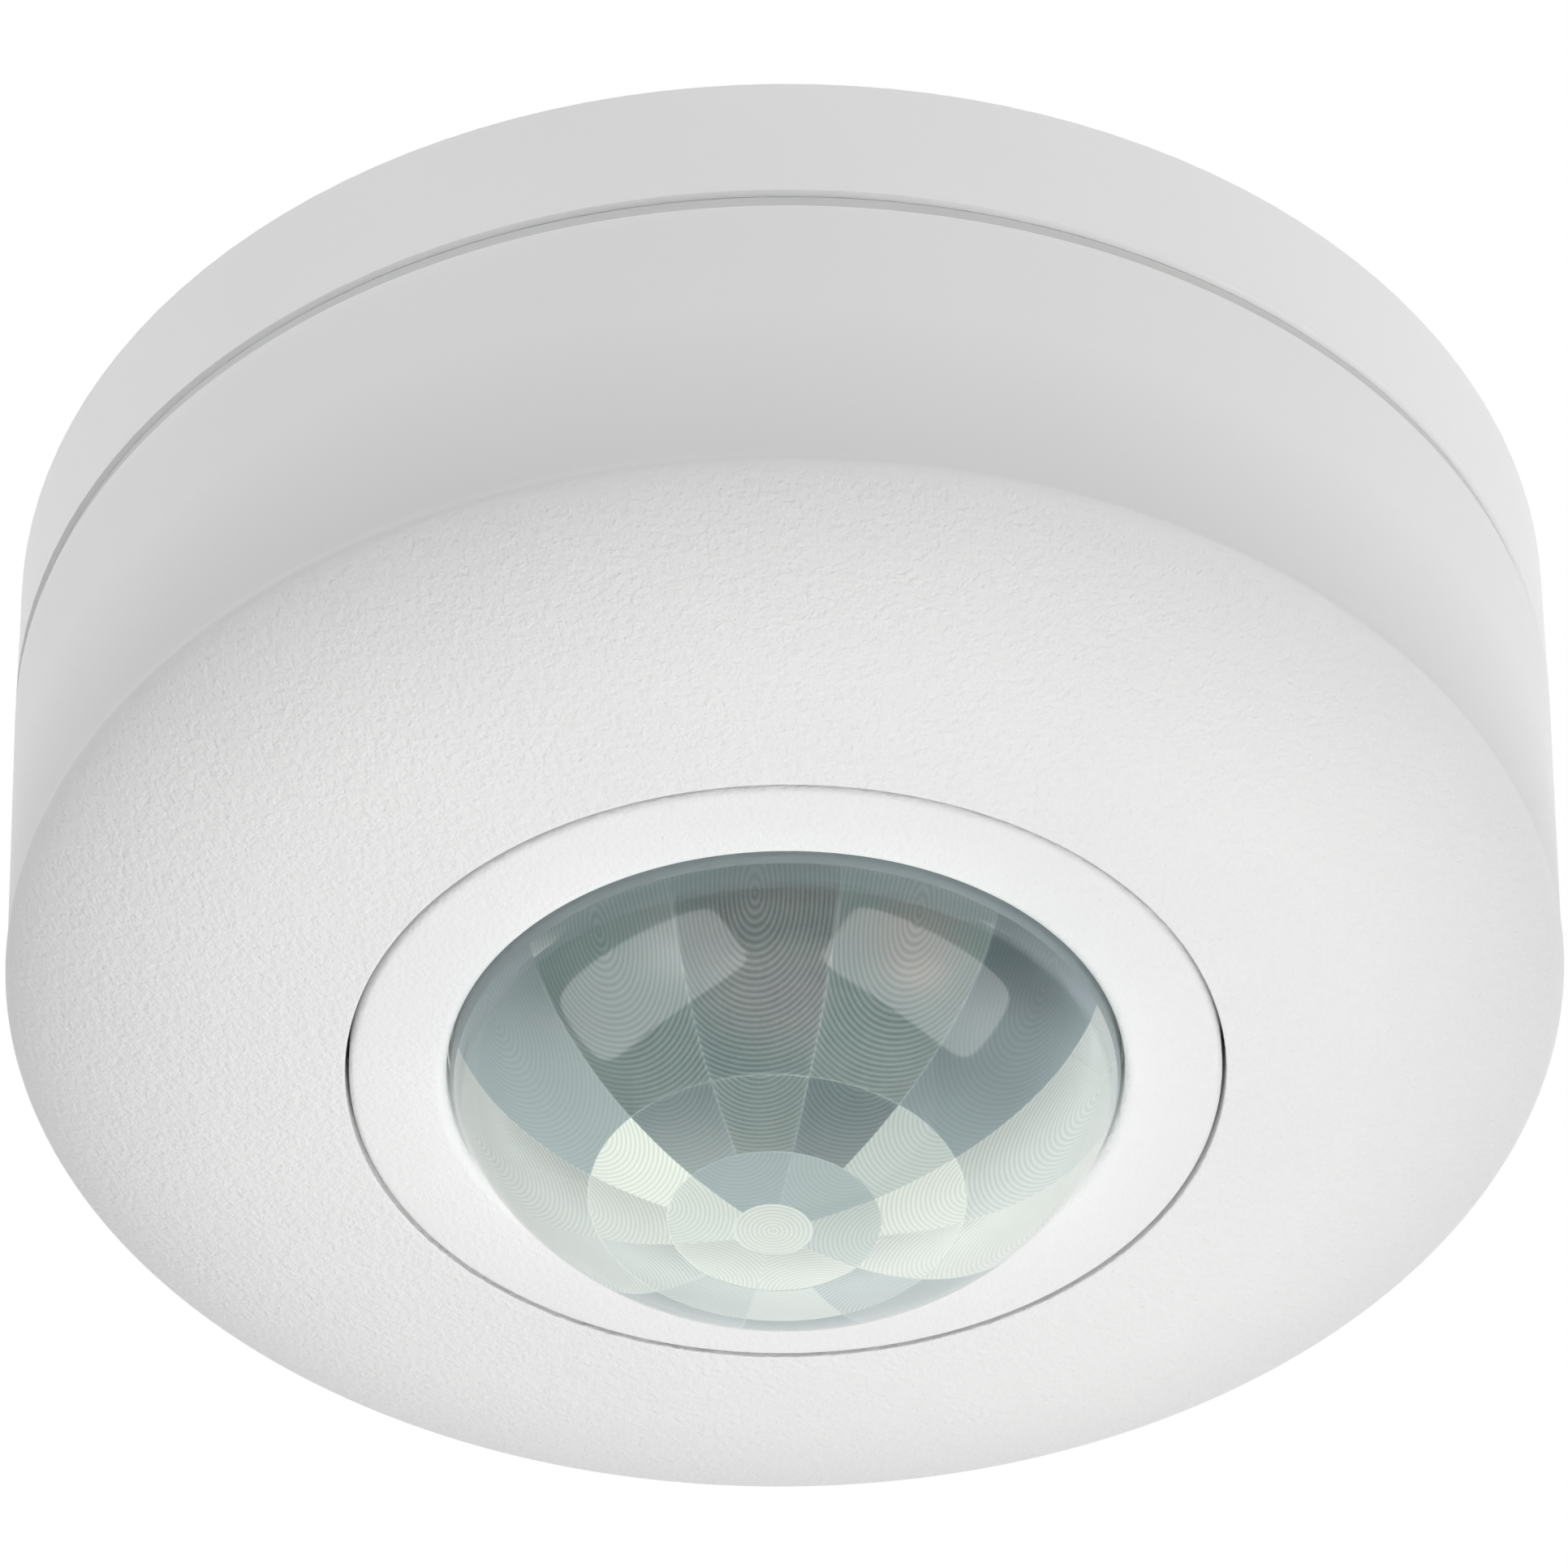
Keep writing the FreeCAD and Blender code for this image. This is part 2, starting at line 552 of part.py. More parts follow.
# ---- controls under the trim ring ----
def trimmer(angle):
    body = rounded_block(6.0, 6.0, SENSOR_FRONT, 31.2, 0.4)
    bore = disc(SHAFT_R + RUNNING, 28.2, 32.0)
    return stand_at(body.cut(bore), CONTROL_RADIUS, angle)


def knob(angle):
    shaft = disc(SHAFT_R, 28.3, CONTROL_HEAD_TOP)
    head = disc(KNOB_R, CONTROL_HEAD_TOP, CONTROL_HEAD_END)
    slot = block(2 * KNOB_R - 0.7, 0.6, CONTROL_HEAD_END - 0.6, 38.0)
    arrow = block(0.9, 1.1, CONTROL_HEAD_END - 0.35, 38.0, KNOB_R - 0.45, 0)
    return stand_at(without(joined([shaft, head]), [slot, arrow]), CONTROL_RADIUS, angle)


def test_switch():
    body = rounded_block(6.0, 6.0, SENSOR_FRONT, 29.7, 0.4)
    bore = disc(SHAFT_R + RUNNING, 28.7, 31.0)
    return stand_at(body.cut(bore), CONTROL_RADIUS, TEST_ANGLE)


def test_button():
    stem = disc(SHAFT_R, 29.2, CONTROL_HEAD_TOP)
    head = disc(KNOB_R, CONTROL_HEAD_TOP, CONTROL_HEAD_END)
    head = head.makeFillet(0.3, [edge for edge in head.Edges if edge.Closed and edge.BoundBox.ZMax < -36.5])
    return stand_at(joined([stem, head]), CONTROL_RADIUS, TEST_ANGLE)


# ---- cover and trim ring ----
def crown_point(share, skin=0.0):
    """Point of the crowned face; share runs from 0 at the shoulder to 1 at the centre."""
    t = share * math.pi / 2
    power = 2 / CROWN_POWER
    radius = CROWN_R + (SHOULDER_R - skin - CROWN_R) * math.cos(t) ** power
    return radius, SHOULDER_DEPTH + (CROWN_DROP - skin) * math.sin(t) ** power


def crown_share(radius, skin=0.0):
    """Share at which the crowned face reaches a radius."""
    power = 2 / CROWN_POWER
    return math.acos(((radius - CROWN_R) / (SHOULDER_R - skin - CROWN_R)) ** (1 / power)) * 2 / math.pi


def cover():
    opening_r = RING_R + RING_GAP
    collar_r = opening_r + 1.5
    collar_top = NECK_TOP
    lip_share = crown_share(opening_r + COVER_LIP)
    steps = 10
    waist = [(COVER_R_LOW + 0.04, 31.0), (COVER_R_LOW, 31.9), (COVER_R_LOW + 0.01, 32.5)]
    crown = [crown_point(0.05 + (lip_share - 0.05) * step / steps) for step in range(steps + 1)]
    outer = [section_point(*point) for point in waist + crown]
    inner_end = crown_share(collar_r, COVER_SKIN)
    inner_crown = [crown_point(inner_end * step / steps, COVER_SKIN) for step in range(steps + 1)]
    inner = [section_point(*point) for point in inner_crown]
    lip_depth = crown[-1][1]
    lip_start = section_point(opening_r, lip_depth - COVER_LIP)
    corner = COVER_LIP * (1 - math.sqrt(0.5))
    lip_middle = section_point(opening_r + corner, lip_depth - corner)
    top_edge = section_point(COVER_R_TOP - 0.2, COVER_TOP)
    edges = [
        line(section_point(COVER_BORE_R, COVER_TOP), top_edge),
        line(top_edge, section_point(COVER_R_TOP, COVER_TOP + 0.2)),
        line(section_point(COVER_R_TOP, COVER_TOP + 0.2), outer[0])]
    edges += smooth_curve(outer, 8)
    edges += [
        Part.Arc(outer[-1], lip_middle, lip_start).toShape(),
        line(lip_start, section_point(opening_r, collar_top)),
        line(section_point(opening_r, collar_top), section_point(collar_r, collar_top)),
        line(section_point(collar_r, collar_top), inner[-1])]
    edges += smooth_curve(inner[::-1], 4)
    edges.append(line(inner[0], section_point(COVER_BORE_R, COVER_TOP)))
    return turn_profile(edges)


def trim_ring():
    edge_round = 0.3
    skirt_top = NECK_TOP + 0.15
    back = TURRET_END + 0.2
    corner = edge_round * (1 - math.sqrt(0.5))
    lip_r = RING_BORE_R + LIP_REACH
    lip_depth = FACE_DEPTH - LIP_FALL
    lip_round = (LIP_REACH ** 2 + LIP_FALL ** 2) / (2 * LIP_FALL)
    half = math.asin(LIP_REACH / lip_round) / 2
    lip_middle = section_point(lip_r - lip_round * math.sin(half),
                               FACE_DEPTH - lip_round * (1 - math.cos(half)))
    points = [(RING_BORE_R, back + 0.2), (RING_BORE_R + 0.2, back), (23.2, back), (23.2, 38.2), (26.6, 38.8),
              (26.6, back), (NECK_R + 0.1, back), (NECK_R + 0.1, skirt_top), (RING_R, skirt_top),
              (RING_R, FACE_DEPTH - edge_round)]
    corners = [section_point(*point) for point in points]
    edges = [line(a, b) for a, b in zip(corners, corners[1:])]
    edges += [
        Part.Arc(corners[-1], section_point(RING_R - corner, FACE_DEPTH - corner),
                 section_point(RING_R - edge_round, FACE_DEPTH)).toShape(),
        line(section_point(RING_R - edge_round, FACE_DEPTH), section_point(lip_r, FACE_DEPTH)),
        Part.Arc(section_point(lip_r, FACE_DEPTH), lip_middle, section_point(RING_BORE_R, lip_depth)).toShape(),
        line(section_point(RING_BORE_R, lip_depth), corners[0])]
    return turn_profile(edges)


def main():
    os.makedirs("parts", exist_ok=True)
    save("surface_base", surface_base())
    save("seal_ring", seal_ring())
    save("cable_grommet", cable_grommet())
    save("terminal_block", terminal_block())
    save("busbars", busbars())
    for number, pole in enumerate(POLES, 1):
        save("terminal_screw_%d" % number, terminal_screw(pole))
        save("clamp_cage_%d" % number, clamp_cage(pole))
    save("sensor_housing", sensor_housing())
    save("rear_cover", rear_cover())
    save("housing_screws", housing_screws())
    save("case_screws", case_screws())
    save("power_board", power_board())
    save("supply_blades", supply_blades())
    save("relay", relay())
    save("transformer_core", transformer_core())
    save("transformer_coil", transformer_coil())
    save("mains_capacitor", mains_capacitor())
    save("bulk_capacitor", can_capacitor(5.0, 12.0, 178))
    save("output_capacitor", can_capacitor(4.0, 11.0, 212))
    save("varistor", varistor())
    save("fuse", fuse())
    save("choke_core", choke_core())
    save("choke_coil", choke_coil())
    save("bridge_rectifier", bridge_rectifier())
    save("board_spacers", board_spacers())
    save("board_screws", board_screws())
    save("header_body", header_strip(POWER_FRONT, POWER_FRONT + 2.5))
    save("header_socket", header_strip(POWER_FRONT + 2.6, SENSOR_TOP))
    save("header_pins", header_pins())
    save("sensor_board", sensor_board())
    save("processor", processor())
    save("sensor_holder", sensor_holder())
    save("pyro_header", pyro_header())
    save("pyro_can", pyro_can())
    save("pyro_window", pyro_window())
    save("lens_retainer", lens_retainer())
    save("fresnel_lens", fresnel_lens())
    save("status_led", round_lamp(1.5, 3.2, 0))
    save("light_sensor", round_lamp(1.5, 2.2, 180))
    save("lux_trimmer", trimmer(LUX_ANGLE))
    save("lux_knob", knob(LUX_ANGLE))
    save("time_trimmer", trimmer(TIME_ANGLE))
    save("time_knob", knob(TIME_ANGLE))
    save("test_switch", test_switch())
    save("test_button", test_button())
    save("cover", cover())
    save("trim_ring", trim_ring())


main()
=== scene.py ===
import json
import math

import bmesh
import bpy
from mathutils import Matrix, Vector


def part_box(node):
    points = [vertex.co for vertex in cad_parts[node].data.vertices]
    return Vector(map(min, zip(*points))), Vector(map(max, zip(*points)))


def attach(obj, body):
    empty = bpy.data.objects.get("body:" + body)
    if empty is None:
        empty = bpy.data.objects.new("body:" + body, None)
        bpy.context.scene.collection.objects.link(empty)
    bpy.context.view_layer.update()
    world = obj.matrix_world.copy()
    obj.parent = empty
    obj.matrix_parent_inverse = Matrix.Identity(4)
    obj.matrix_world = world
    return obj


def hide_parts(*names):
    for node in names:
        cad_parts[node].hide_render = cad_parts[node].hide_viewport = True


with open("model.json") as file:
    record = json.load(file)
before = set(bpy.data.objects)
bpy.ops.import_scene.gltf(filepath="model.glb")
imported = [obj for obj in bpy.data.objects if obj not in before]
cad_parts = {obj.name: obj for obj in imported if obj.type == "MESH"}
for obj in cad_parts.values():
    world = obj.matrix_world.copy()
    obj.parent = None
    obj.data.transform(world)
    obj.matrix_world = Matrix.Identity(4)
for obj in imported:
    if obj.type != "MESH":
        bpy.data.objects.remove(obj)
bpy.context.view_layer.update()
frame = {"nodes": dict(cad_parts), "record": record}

MM = 0.001

# ---- places read from the frame, in metres ----
_, BASE_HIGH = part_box("surface_base")
SEAL_LOW, SEAL_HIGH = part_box("seal_ring")
_, COVER_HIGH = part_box("cover")
RING_LOW, RING_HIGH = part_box("trim_ring")
LENS_LOW, LENS_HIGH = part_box("fresnel_lens")
CEILING = BASE_HIGH.z
COVER_R = COVER_HIGH.x
RING_R = RING_HIGH.x
RING_FACE = RING_LOW.z
LENS_APEX = LENS_LOW.z
LENS_FLANGE_R = LENS_HIGH.x
LENS_TOP = LENS_HIGH.z

# ---- shape of the outside: main sizes as in the CAD parts, small edges drawn as the photo shows ----
SHOULDER_Z = CEILING - 32.9 * MM
SHOULDER_R = 51.2 * MM
WAIST_Z = CEILING - 32.3 * MM
WAIST_R = 51.09 * MM
CROWN_R = 24.8 * MM
CROWN_DROP = 7.27 * MM
CROWN_POWER = 1.72
COVER_RIM_EDGE = 0.25 * MM
COVER_LIP = 0.12 * MM        # sharper than the CAD part's 0.45 mm, as the fine line round the ring asks
COVER_BORE_R = 49.2 * MM
COVER_SKIN = 2.0 * MM
COLLAR_TOP = CEILING - 34.9 * MM
COLLAR_WALL = 1.5 * MM
SEAL_BORE_R = 49.0 * MM
SEAL_EDGE = 0.04 * MM
RING_GAP = 0.25 * MM
RING_EDGE = 0.42 * MM        # rounder than the CAD part's 0.3 mm, for the same reason
RING_LAND = 0.4 * MM
RING_BORE_R = 22.15 * MM
RING_BORE_EDGE = 0.12 * MM
RING_BACK = CEILING - 37.2 * MM
RING_CHAMFER = 0.15 * MM
LIP_REACH = 0.85 * MM
LIP_FALL = 0.5 * MM
RECESS_INNER_R = 23.2 * MM
RECESS_OUTER_R = 26.6 * MM
RECESS_INNER_Z = CEILING - 38.2 * MM
RECESS_OUTER_Z = CEILING - 38.8 * MM
NECK_R = 27.5 * MM
NECK_SLIP = 0.1 * MM
LENS_R = 21.9 * MM
LENS_WALL = 1.0 * MM
LENS_BORE_R = LENS_R - LENS_WALL
LENS_FLANGE_LOW = CEILING - 35.65 * MM
DOME_R = 22.48 * MM
DOME_CENTRE_Z = CEILING - 36.0 * MM

# ---- lens pattern: a disc in the middle and three rings of facets round it ----
DISC_R = 2.5 * MM
INNER_RING_R = 6.8 * MM
MIDDLE_RING_R = 12.0 * MM
OUTER_RING_R = 20.6 * MM
BAND_R = 21.15 * MM          # a plain band round the foot of the dome starts here
INNER_FACETS = 6
OUTER_FACETS = 12            # in the middle ring and in the outer one, with the same seams
INNER_SEAM = 40.0            # first seam, in degrees anticlockwise from +X
OUTER_SEAM = 10.0
INNER_SPAN = 360.0 / INNER_FACETS
OUTER_SPAN = 360.0 / OUTER_FACETS
INNER_CENTRE_R = 7.6 * MM    # radius of the facets' optical centres, for each ring
MIDDLE_CENTRE_R = 13.6 * MM
OUTER_CENTRE_R = 20.2 * MM
PATTERN_LEAN = 0.88 * MM     # the pattern's middle stands this far off the dome's axis
GROOVE_PITCH = 0.3 * MM
FACET_SLOPE = 0.01

# Tone of each facet from 0 (clear and bluish) to 1 (pale). A row for each ring, inner ring
# first, counted anticlockwise seen from above and starting at the ring's first seam.
# Painted light: these tones stand in for the light that each facet's prisms bend towards the eye; the
# plastic is the same in every facet.
FACET_PAINTED_TONES = ((1.0, 1.0, 0.85, 0.15, 0.2, 0.7),
               (1.0, 0.65, 0.9, 0.75, 0.85, 1.0, 1.0, 0.3, 0.85, 0.35, 0.5, 1.0),
               (1.0, 0.5, 0.35, 0.5, 0.9, 0.9, 0.2, 0.8, 0.7, 0.85, 0.12, 0.8))
DISC_PAINTED_TONE = 0.9

# ---- mesh fineness ----
TURN_STEPS = 360
WALL_STEPS = 24
WAIST_STEPS = 6
CROWN_STEPS = 90
CROWN_START = 0.03           # share of the crown's curve that the waist's blend takes the place of
INNER_CROWN_STEPS = 24
DOME_STEPS = 80
FACET_STEP = 0.3 * MM
RING_MARGIN = 0.02 * MM      # half the distance between the paired vertices at a facet's edge
SEAM_MARGIN = 0.12           # the same in degrees
SHARP_DEGREES = 40.0
SHARP_LENS_DEGREES = 12.0

# ---- looks of the white mouldings ----
WHITE = (0.91, 0.91, 0.905)
OFF_WHITE = (0.885, 0.888, 0.883)
# Painted light: the base's white is lighter than the cover's to stand in for the brighter light that falls
# on the base.
BASE_LIT_WHITE = (0.95, 0.955, 0.95)
BASE_LIT_OFF_WHITE = (0.92, 0.925, 0.92)
# The seal's grey is partly its own colour and partly painted shade, kept dark to stand in for the shade in
# the gap between base and cover.
SEAL_GREY_AND_SHADE = (0.70, 0.71, 0.70)
# Painted shade: towards the hollow between the cover's wall and its face, the white turns a little grey.
SHOULDER_SHADE_COLOUR = (0.40, 0.41, 0.405)
SHOULDER_SHADE_SHARE = 0.28         # the share of that painted shade colour where the hollow is deepest
SHADE_DEEPEST = 0.9 * MM      # below the shoulder
SHADE_ABOVE = 13.0 * MM       # the painted shade fades out this far up the wall, and this far down the face
SHADE_BELOW = 6.0 * MM
GRAIN_START = 0.6 * MM       # below the shoulder
GRAIN_FADE = 0.8 * MM        # half the width over which the grain comes in
WALL_GRAIN = 0.05            # strength of the grain above it
COVER_GRAIN = (2000.0, 0.18 * MM)    # scale and depth
RING_GRAIN = (2400.0, 0.11 * MM)
BASE_GRAIN = (2500.0, 0.004 * MM)

# ---- looks of the lens; veil, haze, groove, seam and cloud are shares of milk ----
LENS_TINT = (0.975, 0.985, 0.98, 1.0)
LENS_IOR = 1.48
SHELL_IOR = 1.5
SHELL_MILK = (0.56, 0.64, 0.67, 1.0)
SHELL_VEIL = (0.01, 0.04)
SHELL_BAND_VEIL = 0.22
BAND_BLUR = 0.1 * MM
GATE_R = 0.15 * MM           # the gate mark's flat top, and its foot
GATE_FOOT_R = 0.5 * MM
GATE_HEIGHT = 0.3 * MM
FACET_HAZE = 0.09
FACET_TONE = 0.05
FACET_GROOVE = 0.1
FACET_SEAM = 0.15
FACET_CLOUD = (-0.02, 0.03)
SEAM_HALF_WIDTH = 0.03 * MM
SEAM_FADE_R = 0.13 * MM
EDGE_ON_HAZE = 0.9
EDGE_ON_FACING = (0.13, 0.225)       # Facing where that haze starts, and where it is full
EDGE_ON_TONE = 0.6           # how much of that haze goes with the facet's tone
GROOVE_SHADE = 0.36
MILK_CLEAR = (0.50, 0.63, 0.70)      # the milk of a facet of tone 0, of tone 1, and in a groove
MILK_PALE = (0.98, 0.99, 0.93)
MILK_GROOVE = (0.45, 0.52, 0.54)
MILK_THROUGH = 0.4           # how much of the light that meets the milk goes through it
TINT_CLEAR = (0.28, 0.34, 0.37)      # the same three for the light that the facet bends
TINT_PALE = (1.0, 1.0, 0.94)
TINT_GROOVE = (0.28, 0.35, 0.38)
FACET_POWER = -26.0          # tilt of a facet's prisms per metre from its optical centre
FACET_BLUR = 0.3

# ---- looks of what stands inside ----
SHROUD_DARK = (0.88, 0.90, 0.87)
SHROUD_LIGHT = (0.93, 0.95, 0.92)
SKIRT_DARK = (0.20, 0.27, 0.29)
SKIRT_LIGHT = (0.25, 0.32, 0.34)
# Painted light: inside the bore the shroud and the lens's skirt glow, brighter towards the back, though
# neither is a lamp.
PAINTED_GLOW_COLOUR = (1.0, 0.99, 0.92, 1.0)
SHROUD_PAINTED_GLOW = 0.62
GLOW_R = 20.95 * MM          # just wider than the bores of the shroud and of the lens's skirt
GLOW_NEAR = 0.1              # share of the glow at the middle; it is full this far to the back
GLOW_FULL_Y = 18.0 * MM
METALS = ("brass", "screw_steel", "nickel", "copper_wire")
METAL_ROUGHNESS = 0.32
PLASTIC_ROUGHNESS = 0.5
INNER_COLOURS = {"board": (0.02, 0.075, 0.075), "inner_plastic": (0.93, 0.94, 0.92),
                 "red_resin": (0.24, 0.19, 0.18), "clear_resin": (0.30, 0.33, 0.34),
                 "nickel": (0.40, 0.41, 0.41)}

# ---- studio: distances in metres, angles in degrees ----
CAMERA_PLACE = (0.00006, -0.4424, -0.4164)
CAMERA_LENS = 204.22         # millimetres, as the sensor's width
CAMERA_SENSOR = 36.0
CAMERA_CLIP = (0.01, 50.0)
CAMERA_LIFT = 42.31
CAMERA_ROLL = -0.5
FLOOR_Z = -1.15
FLOOR_R = 0.9
FLOOR_DARK = (0.86, 0.86, 0.86)
FLOOR_LIGHT = (0.90, 0.90, 0.90)
BOX_AZIMUTH = 126.5          # from +Y, one soft box each side
BOX_LIFT = -33.0
BOX_HALF_WIDTH = 0.58        # tangents of the half angles
BOX_HALF_HEIGHT = 0.31
BOX_SQUARENESS = 7.0         # 2 makes an ellipse, a large value a rectangle
BOX_FADE = (0.9, 1.15)
BOX_LIGHT = 2.8
SURROUND_GLOSS = 0.55        # what shiny surfaces see below and above
CEILING_GLOSS = 0.95
LIGHT_ABOVE = 2.2            # what matt surfaces get from above, but for straight above
LIGHT_OVERHEAD = 0.15
LIGHT_BELOW_NEAR = 0.0       # what they get from below, on the camera's side and on the far side
LIGHT_BELOW_FAR = 0.10
BELOW_FADE = (-0.6, 0.6)     # these four say over which part of a direction's z, or y here, light changes
OVERHEAD_FADE = (0.5, 0.75)
HORIZON_FADE = (0.0, 0.28)
GLOSS_FADE = (0.0, 0.5)
LAMP_PLACE = (0.28, 0.0, -1.0)
LAMP_SIZE = 0.8
LAMP_POWER = 6.8


# =====================================================================
# Mesh helpers
# =====================================================================
def new_object(name, mesh):
    piece = bpy.data.objects.new(name, mesh)
    bpy.context.scene.collection.objects.link(piece)
    return piece


def lathe(name, outline):
    """Closed outline of (radius, z) points turned round the Z axis."""
    vertices = []
    for number in range(TURN_STEPS):
        angle = 2 * math.pi * number / TURN_STEPS
        cosine = math.cos(angle)
        sine = math.sin(angle)
        vertices += [(radius * cosine, radius * sine, z) for radius, z in outline]
    count = len(outline)
    faces = []
    for number in range(TURN_STEPS):
        here = number * count
        there = (number + 1) % TURN_STEPS * count
        for point in range(count):
            following = (point + 1) % count
            faces.append((here + point, here + following, there + following, there + point))
    mesh = bpy.data.meshes.new(name)
    mesh.from_pydata(vertices, [], faces)
    finish_mesh(mesh, SHARP_DEGREES)
    return new_object(name, mesh)


def finish_mesh(mesh, sharp_degrees):
    """Joins doubled vertices, turns all faces outwards and shades smooth between sharp edges."""
    work = bmesh.new()
    work.from_mesh(mesh)
    bmesh.ops.remove_doubles(work, verts=work.verts, dist=1e-7)
    bmesh.ops.recalc_face_normals(work, faces=work.faces)
    work.to_mesh(mesh)
    work.free()
    mesh.polygons.foreach_set("use_smooth", [True] * len(mesh.polygons))
    mesh.set_sharp_from_angle(angle=math.radians(sharp_degrees))


def arc_points(centre_r, centre_z, radius, start, end, steps):
    """Points of an arc in the section plane; angles in degrees, 0 outwards, -90 down."""
    points = []
    for number in range(steps + 1):
        angle = math.radians(start + (end - start) * number / steps)
        points.append((centre_r + radius * math.cos(angle), centre_z + radius * math.sin(angle)))
    return points


# =====================================================================
# Cover
# =====================================================================
def crown_point(share, skin=0.0):
    """Point of the crowned face, share 0 at its shoulder and 1 where it would level out."""
    t = share * math.pi / 2
    power = 2 / CROWN_POWER
    radius = CROWN_R + (SHOULDER_R - skin - CROWN_R) * math.cos(t) ** power
    return radius, SHOULDER_Z - (CROWN_DROP - skin) * math.sin(t) ** power


def crown_share(radius, skin=0.0):
    """The share at which the crowned face has a radius."""
    ratio = (radius - CROWN_R) / (SHOULDER_R - skin - CROWN_R)
    return math.acos(ratio ** (CROWN_POWER / 2)) * 2 / math.pi


def smooth_step(value):
    value = min(1.0, max(0.0, value))
    return value * value * (3 - 2 * value)


def make_cover():
    """Drum wall with a shallow waist, crowned face, rolled lip and inner collar."""
    opening_r = RING_R + RING_GAP
    rim_z = COVER_HIGH.z - COVER_RIM_EDGE
    outline = arc_points(COVER_R - COVER_RIM_EDGE, rim_z, COVER_RIM_EDGE, 90, 0, 6)
    for number in range(1, WALL_STEPS + 1):
        share = number / WALL_STEPS
        outline.append((COVER_R + (WAIST_R - COVER_R) * share, rim_z + (WAIST_Z - rim_z) * share))
    start_r, start_z = crown_point(CROWN_START)
    for number in range(1, WAIST_STEPS):
        share = number / WAIST_STEPS
        radius = WAIST_R + (start_r - WAIST_R) * smooth_step(share)
        outline.append((radius, WAIST_Z + (start_z - WAIST_Z) * share))
    lip_share = crown_share(opening_r + COVER_LIP)
    for number in range(CROWN_STEPS + 1):
        outline.append(crown_point(CROWN_START + (lip_share - CROWN_START) * number / CROWN_STEPS))
    lip_z = outline[-1][1] + COVER_LIP
    outline += arc_points(opening_r + COVER_LIP, lip_z, COVER_LIP, -90, -180, 8)[1:]
    collar_r = opening_r + COLLAR_WALL
    outline += [(opening_r, COLLAR_TOP), (collar_r, COLLAR_TOP)]
    inner_end = crown_share(collar_r, COVER_SKIN)
    for number in range(INNER_CROWN_STEPS + 1):
        outline.append(crown_point(inner_end * (1 - number / INNER_CROWN_STEPS), COVER_SKIN))
    outline.append((COVER_BORE_R, COVER_HIGH.z))
    piece = lathe("cover_shell", outline)
    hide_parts("cover")
    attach(piece, "cover")
    return piece


# =====================================================================
# Seal
# =====================================================================
def make_seal():
    """Soft ring that fills the gap between base and cover."""
    low_z = SEAL_LOW.z - SEAL_EDGE
    outline = [(SEAL_BORE_R, SEAL_HIGH.z),
               (SEAL_HIGH.x - SEAL_EDGE, SEAL_HIGH.z),
               (SEAL_HIGH.x, SEAL_HIGH.z - SEAL_EDGE),
               (SEAL_HIGH.x, low_z + SEAL_EDGE),
               (SEAL_HIGH.x - SEAL_EDGE, low_z),
               (SEAL_BORE_R, low_z)]
    piece = lathe("seal_band", outline)
    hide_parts("seal_ring")
    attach(piece, "base")
    return piece


# =====================================================================
# Trim ring
# =====================================================================
def make_trim_ring():
    """Flat ring round the lens with a lip rolled inwards, and a recess in its back."""
    lip_r = RING_BORE_R + LIP_REACH
    roll = (LIP_REACH ** 2 + LIP_FALL ** 2) / (2 * LIP_FALL)
    half = math.degrees(math.asin(LIP_REACH / roll))
    grip_r = NECK_R + NECK_SLIP
    outline = arc_points(RING_R - RING_EDGE, RING_FACE + RING_EDGE, RING_EDGE, 0, -90, 6)
    outline += [(RING_R - RING_EDGE - RING_LAND, RING_FACE)]
    outline += arc_points(lip_r, RING_FACE + roll, roll, -90, -90 - half, 20)
    bore_edge_r = RING_BORE_R + RING_BORE_EDGE
    outline += arc_points(bore_edge_r, RING_BACK + RING_BORE_EDGE, RING_BORE_EDGE, 180, 90, 4)
    outline += [(RECESS_INNER_R, RING_BACK),
                (RECESS_INNER_R, RECESS_INNER_Z),
                (RECESS_OUTER_R, RECESS_OUTER_Z),
                (RECESS_OUTER_R, RING_BACK),
                (grip_r, RING_BACK),
                (grip_r, RING_HIGH.z),
                (RING_R - RING_CHAMFER, RING_HIGH.z),
                (RING_R, RING_HIGH.z - RING_CHAMFER)]
    piece = lathe("trim_ring_shell", outline)
    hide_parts("trim_ring")
    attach(piece, "trim_ring")
    return piece


# =====================================================================
# Lens
# =====================================================================
def dome_z(radius, skin=0.0):
    """Height of the dome's outer face, or of the face that lies a skin's thickness inside it."""
    half_r = DOME_R - skin
    half_height = DOME_CENTRE_Z - LENS_APEX - skin
    return DOME_CENTRE_Z - half_height * math.sqrt(max(0.0, 1 - (radius / half_r) ** 2))


def facet_rings():
    """Outer radius, number of sectors, first seam in degrees and radius of the optical centres."""
    return [(DISC_R, 1, 0.0, 0.0),
            (INNER_RING_R, INNER_FACETS, INNER_SEAM, INNER_CENTRE_R),
            (MIDDLE_RING_R, OUTER_FACETS, OUTER_SEAM, MIDDLE_CENTRE_R),
            (OUTER_RING_R, OUTER_FACETS, OUTER_SEAM, OUTER_CENTRE_R)]


def facet_depth(radius, degrees):
    """How far a facet's inner face lies behind the dome: each facet is a shallow prism."""
    if radius > OUTER_RING_R:
        return 0.0
    for outer, sectors, seam, centre_r in facet_rings():
        if radius <= outer:
            break
    span = 360.0 / sectors
    middle = seam + (math.floor((degrees - seam) / span) + 0.5) * span
    offset = math.radians(degrees - middle)
    reach = math.hypot(radius * math.cos(offset) - centre_r, radius * math.sin(offset))
    return FACET_SLOPE * reach


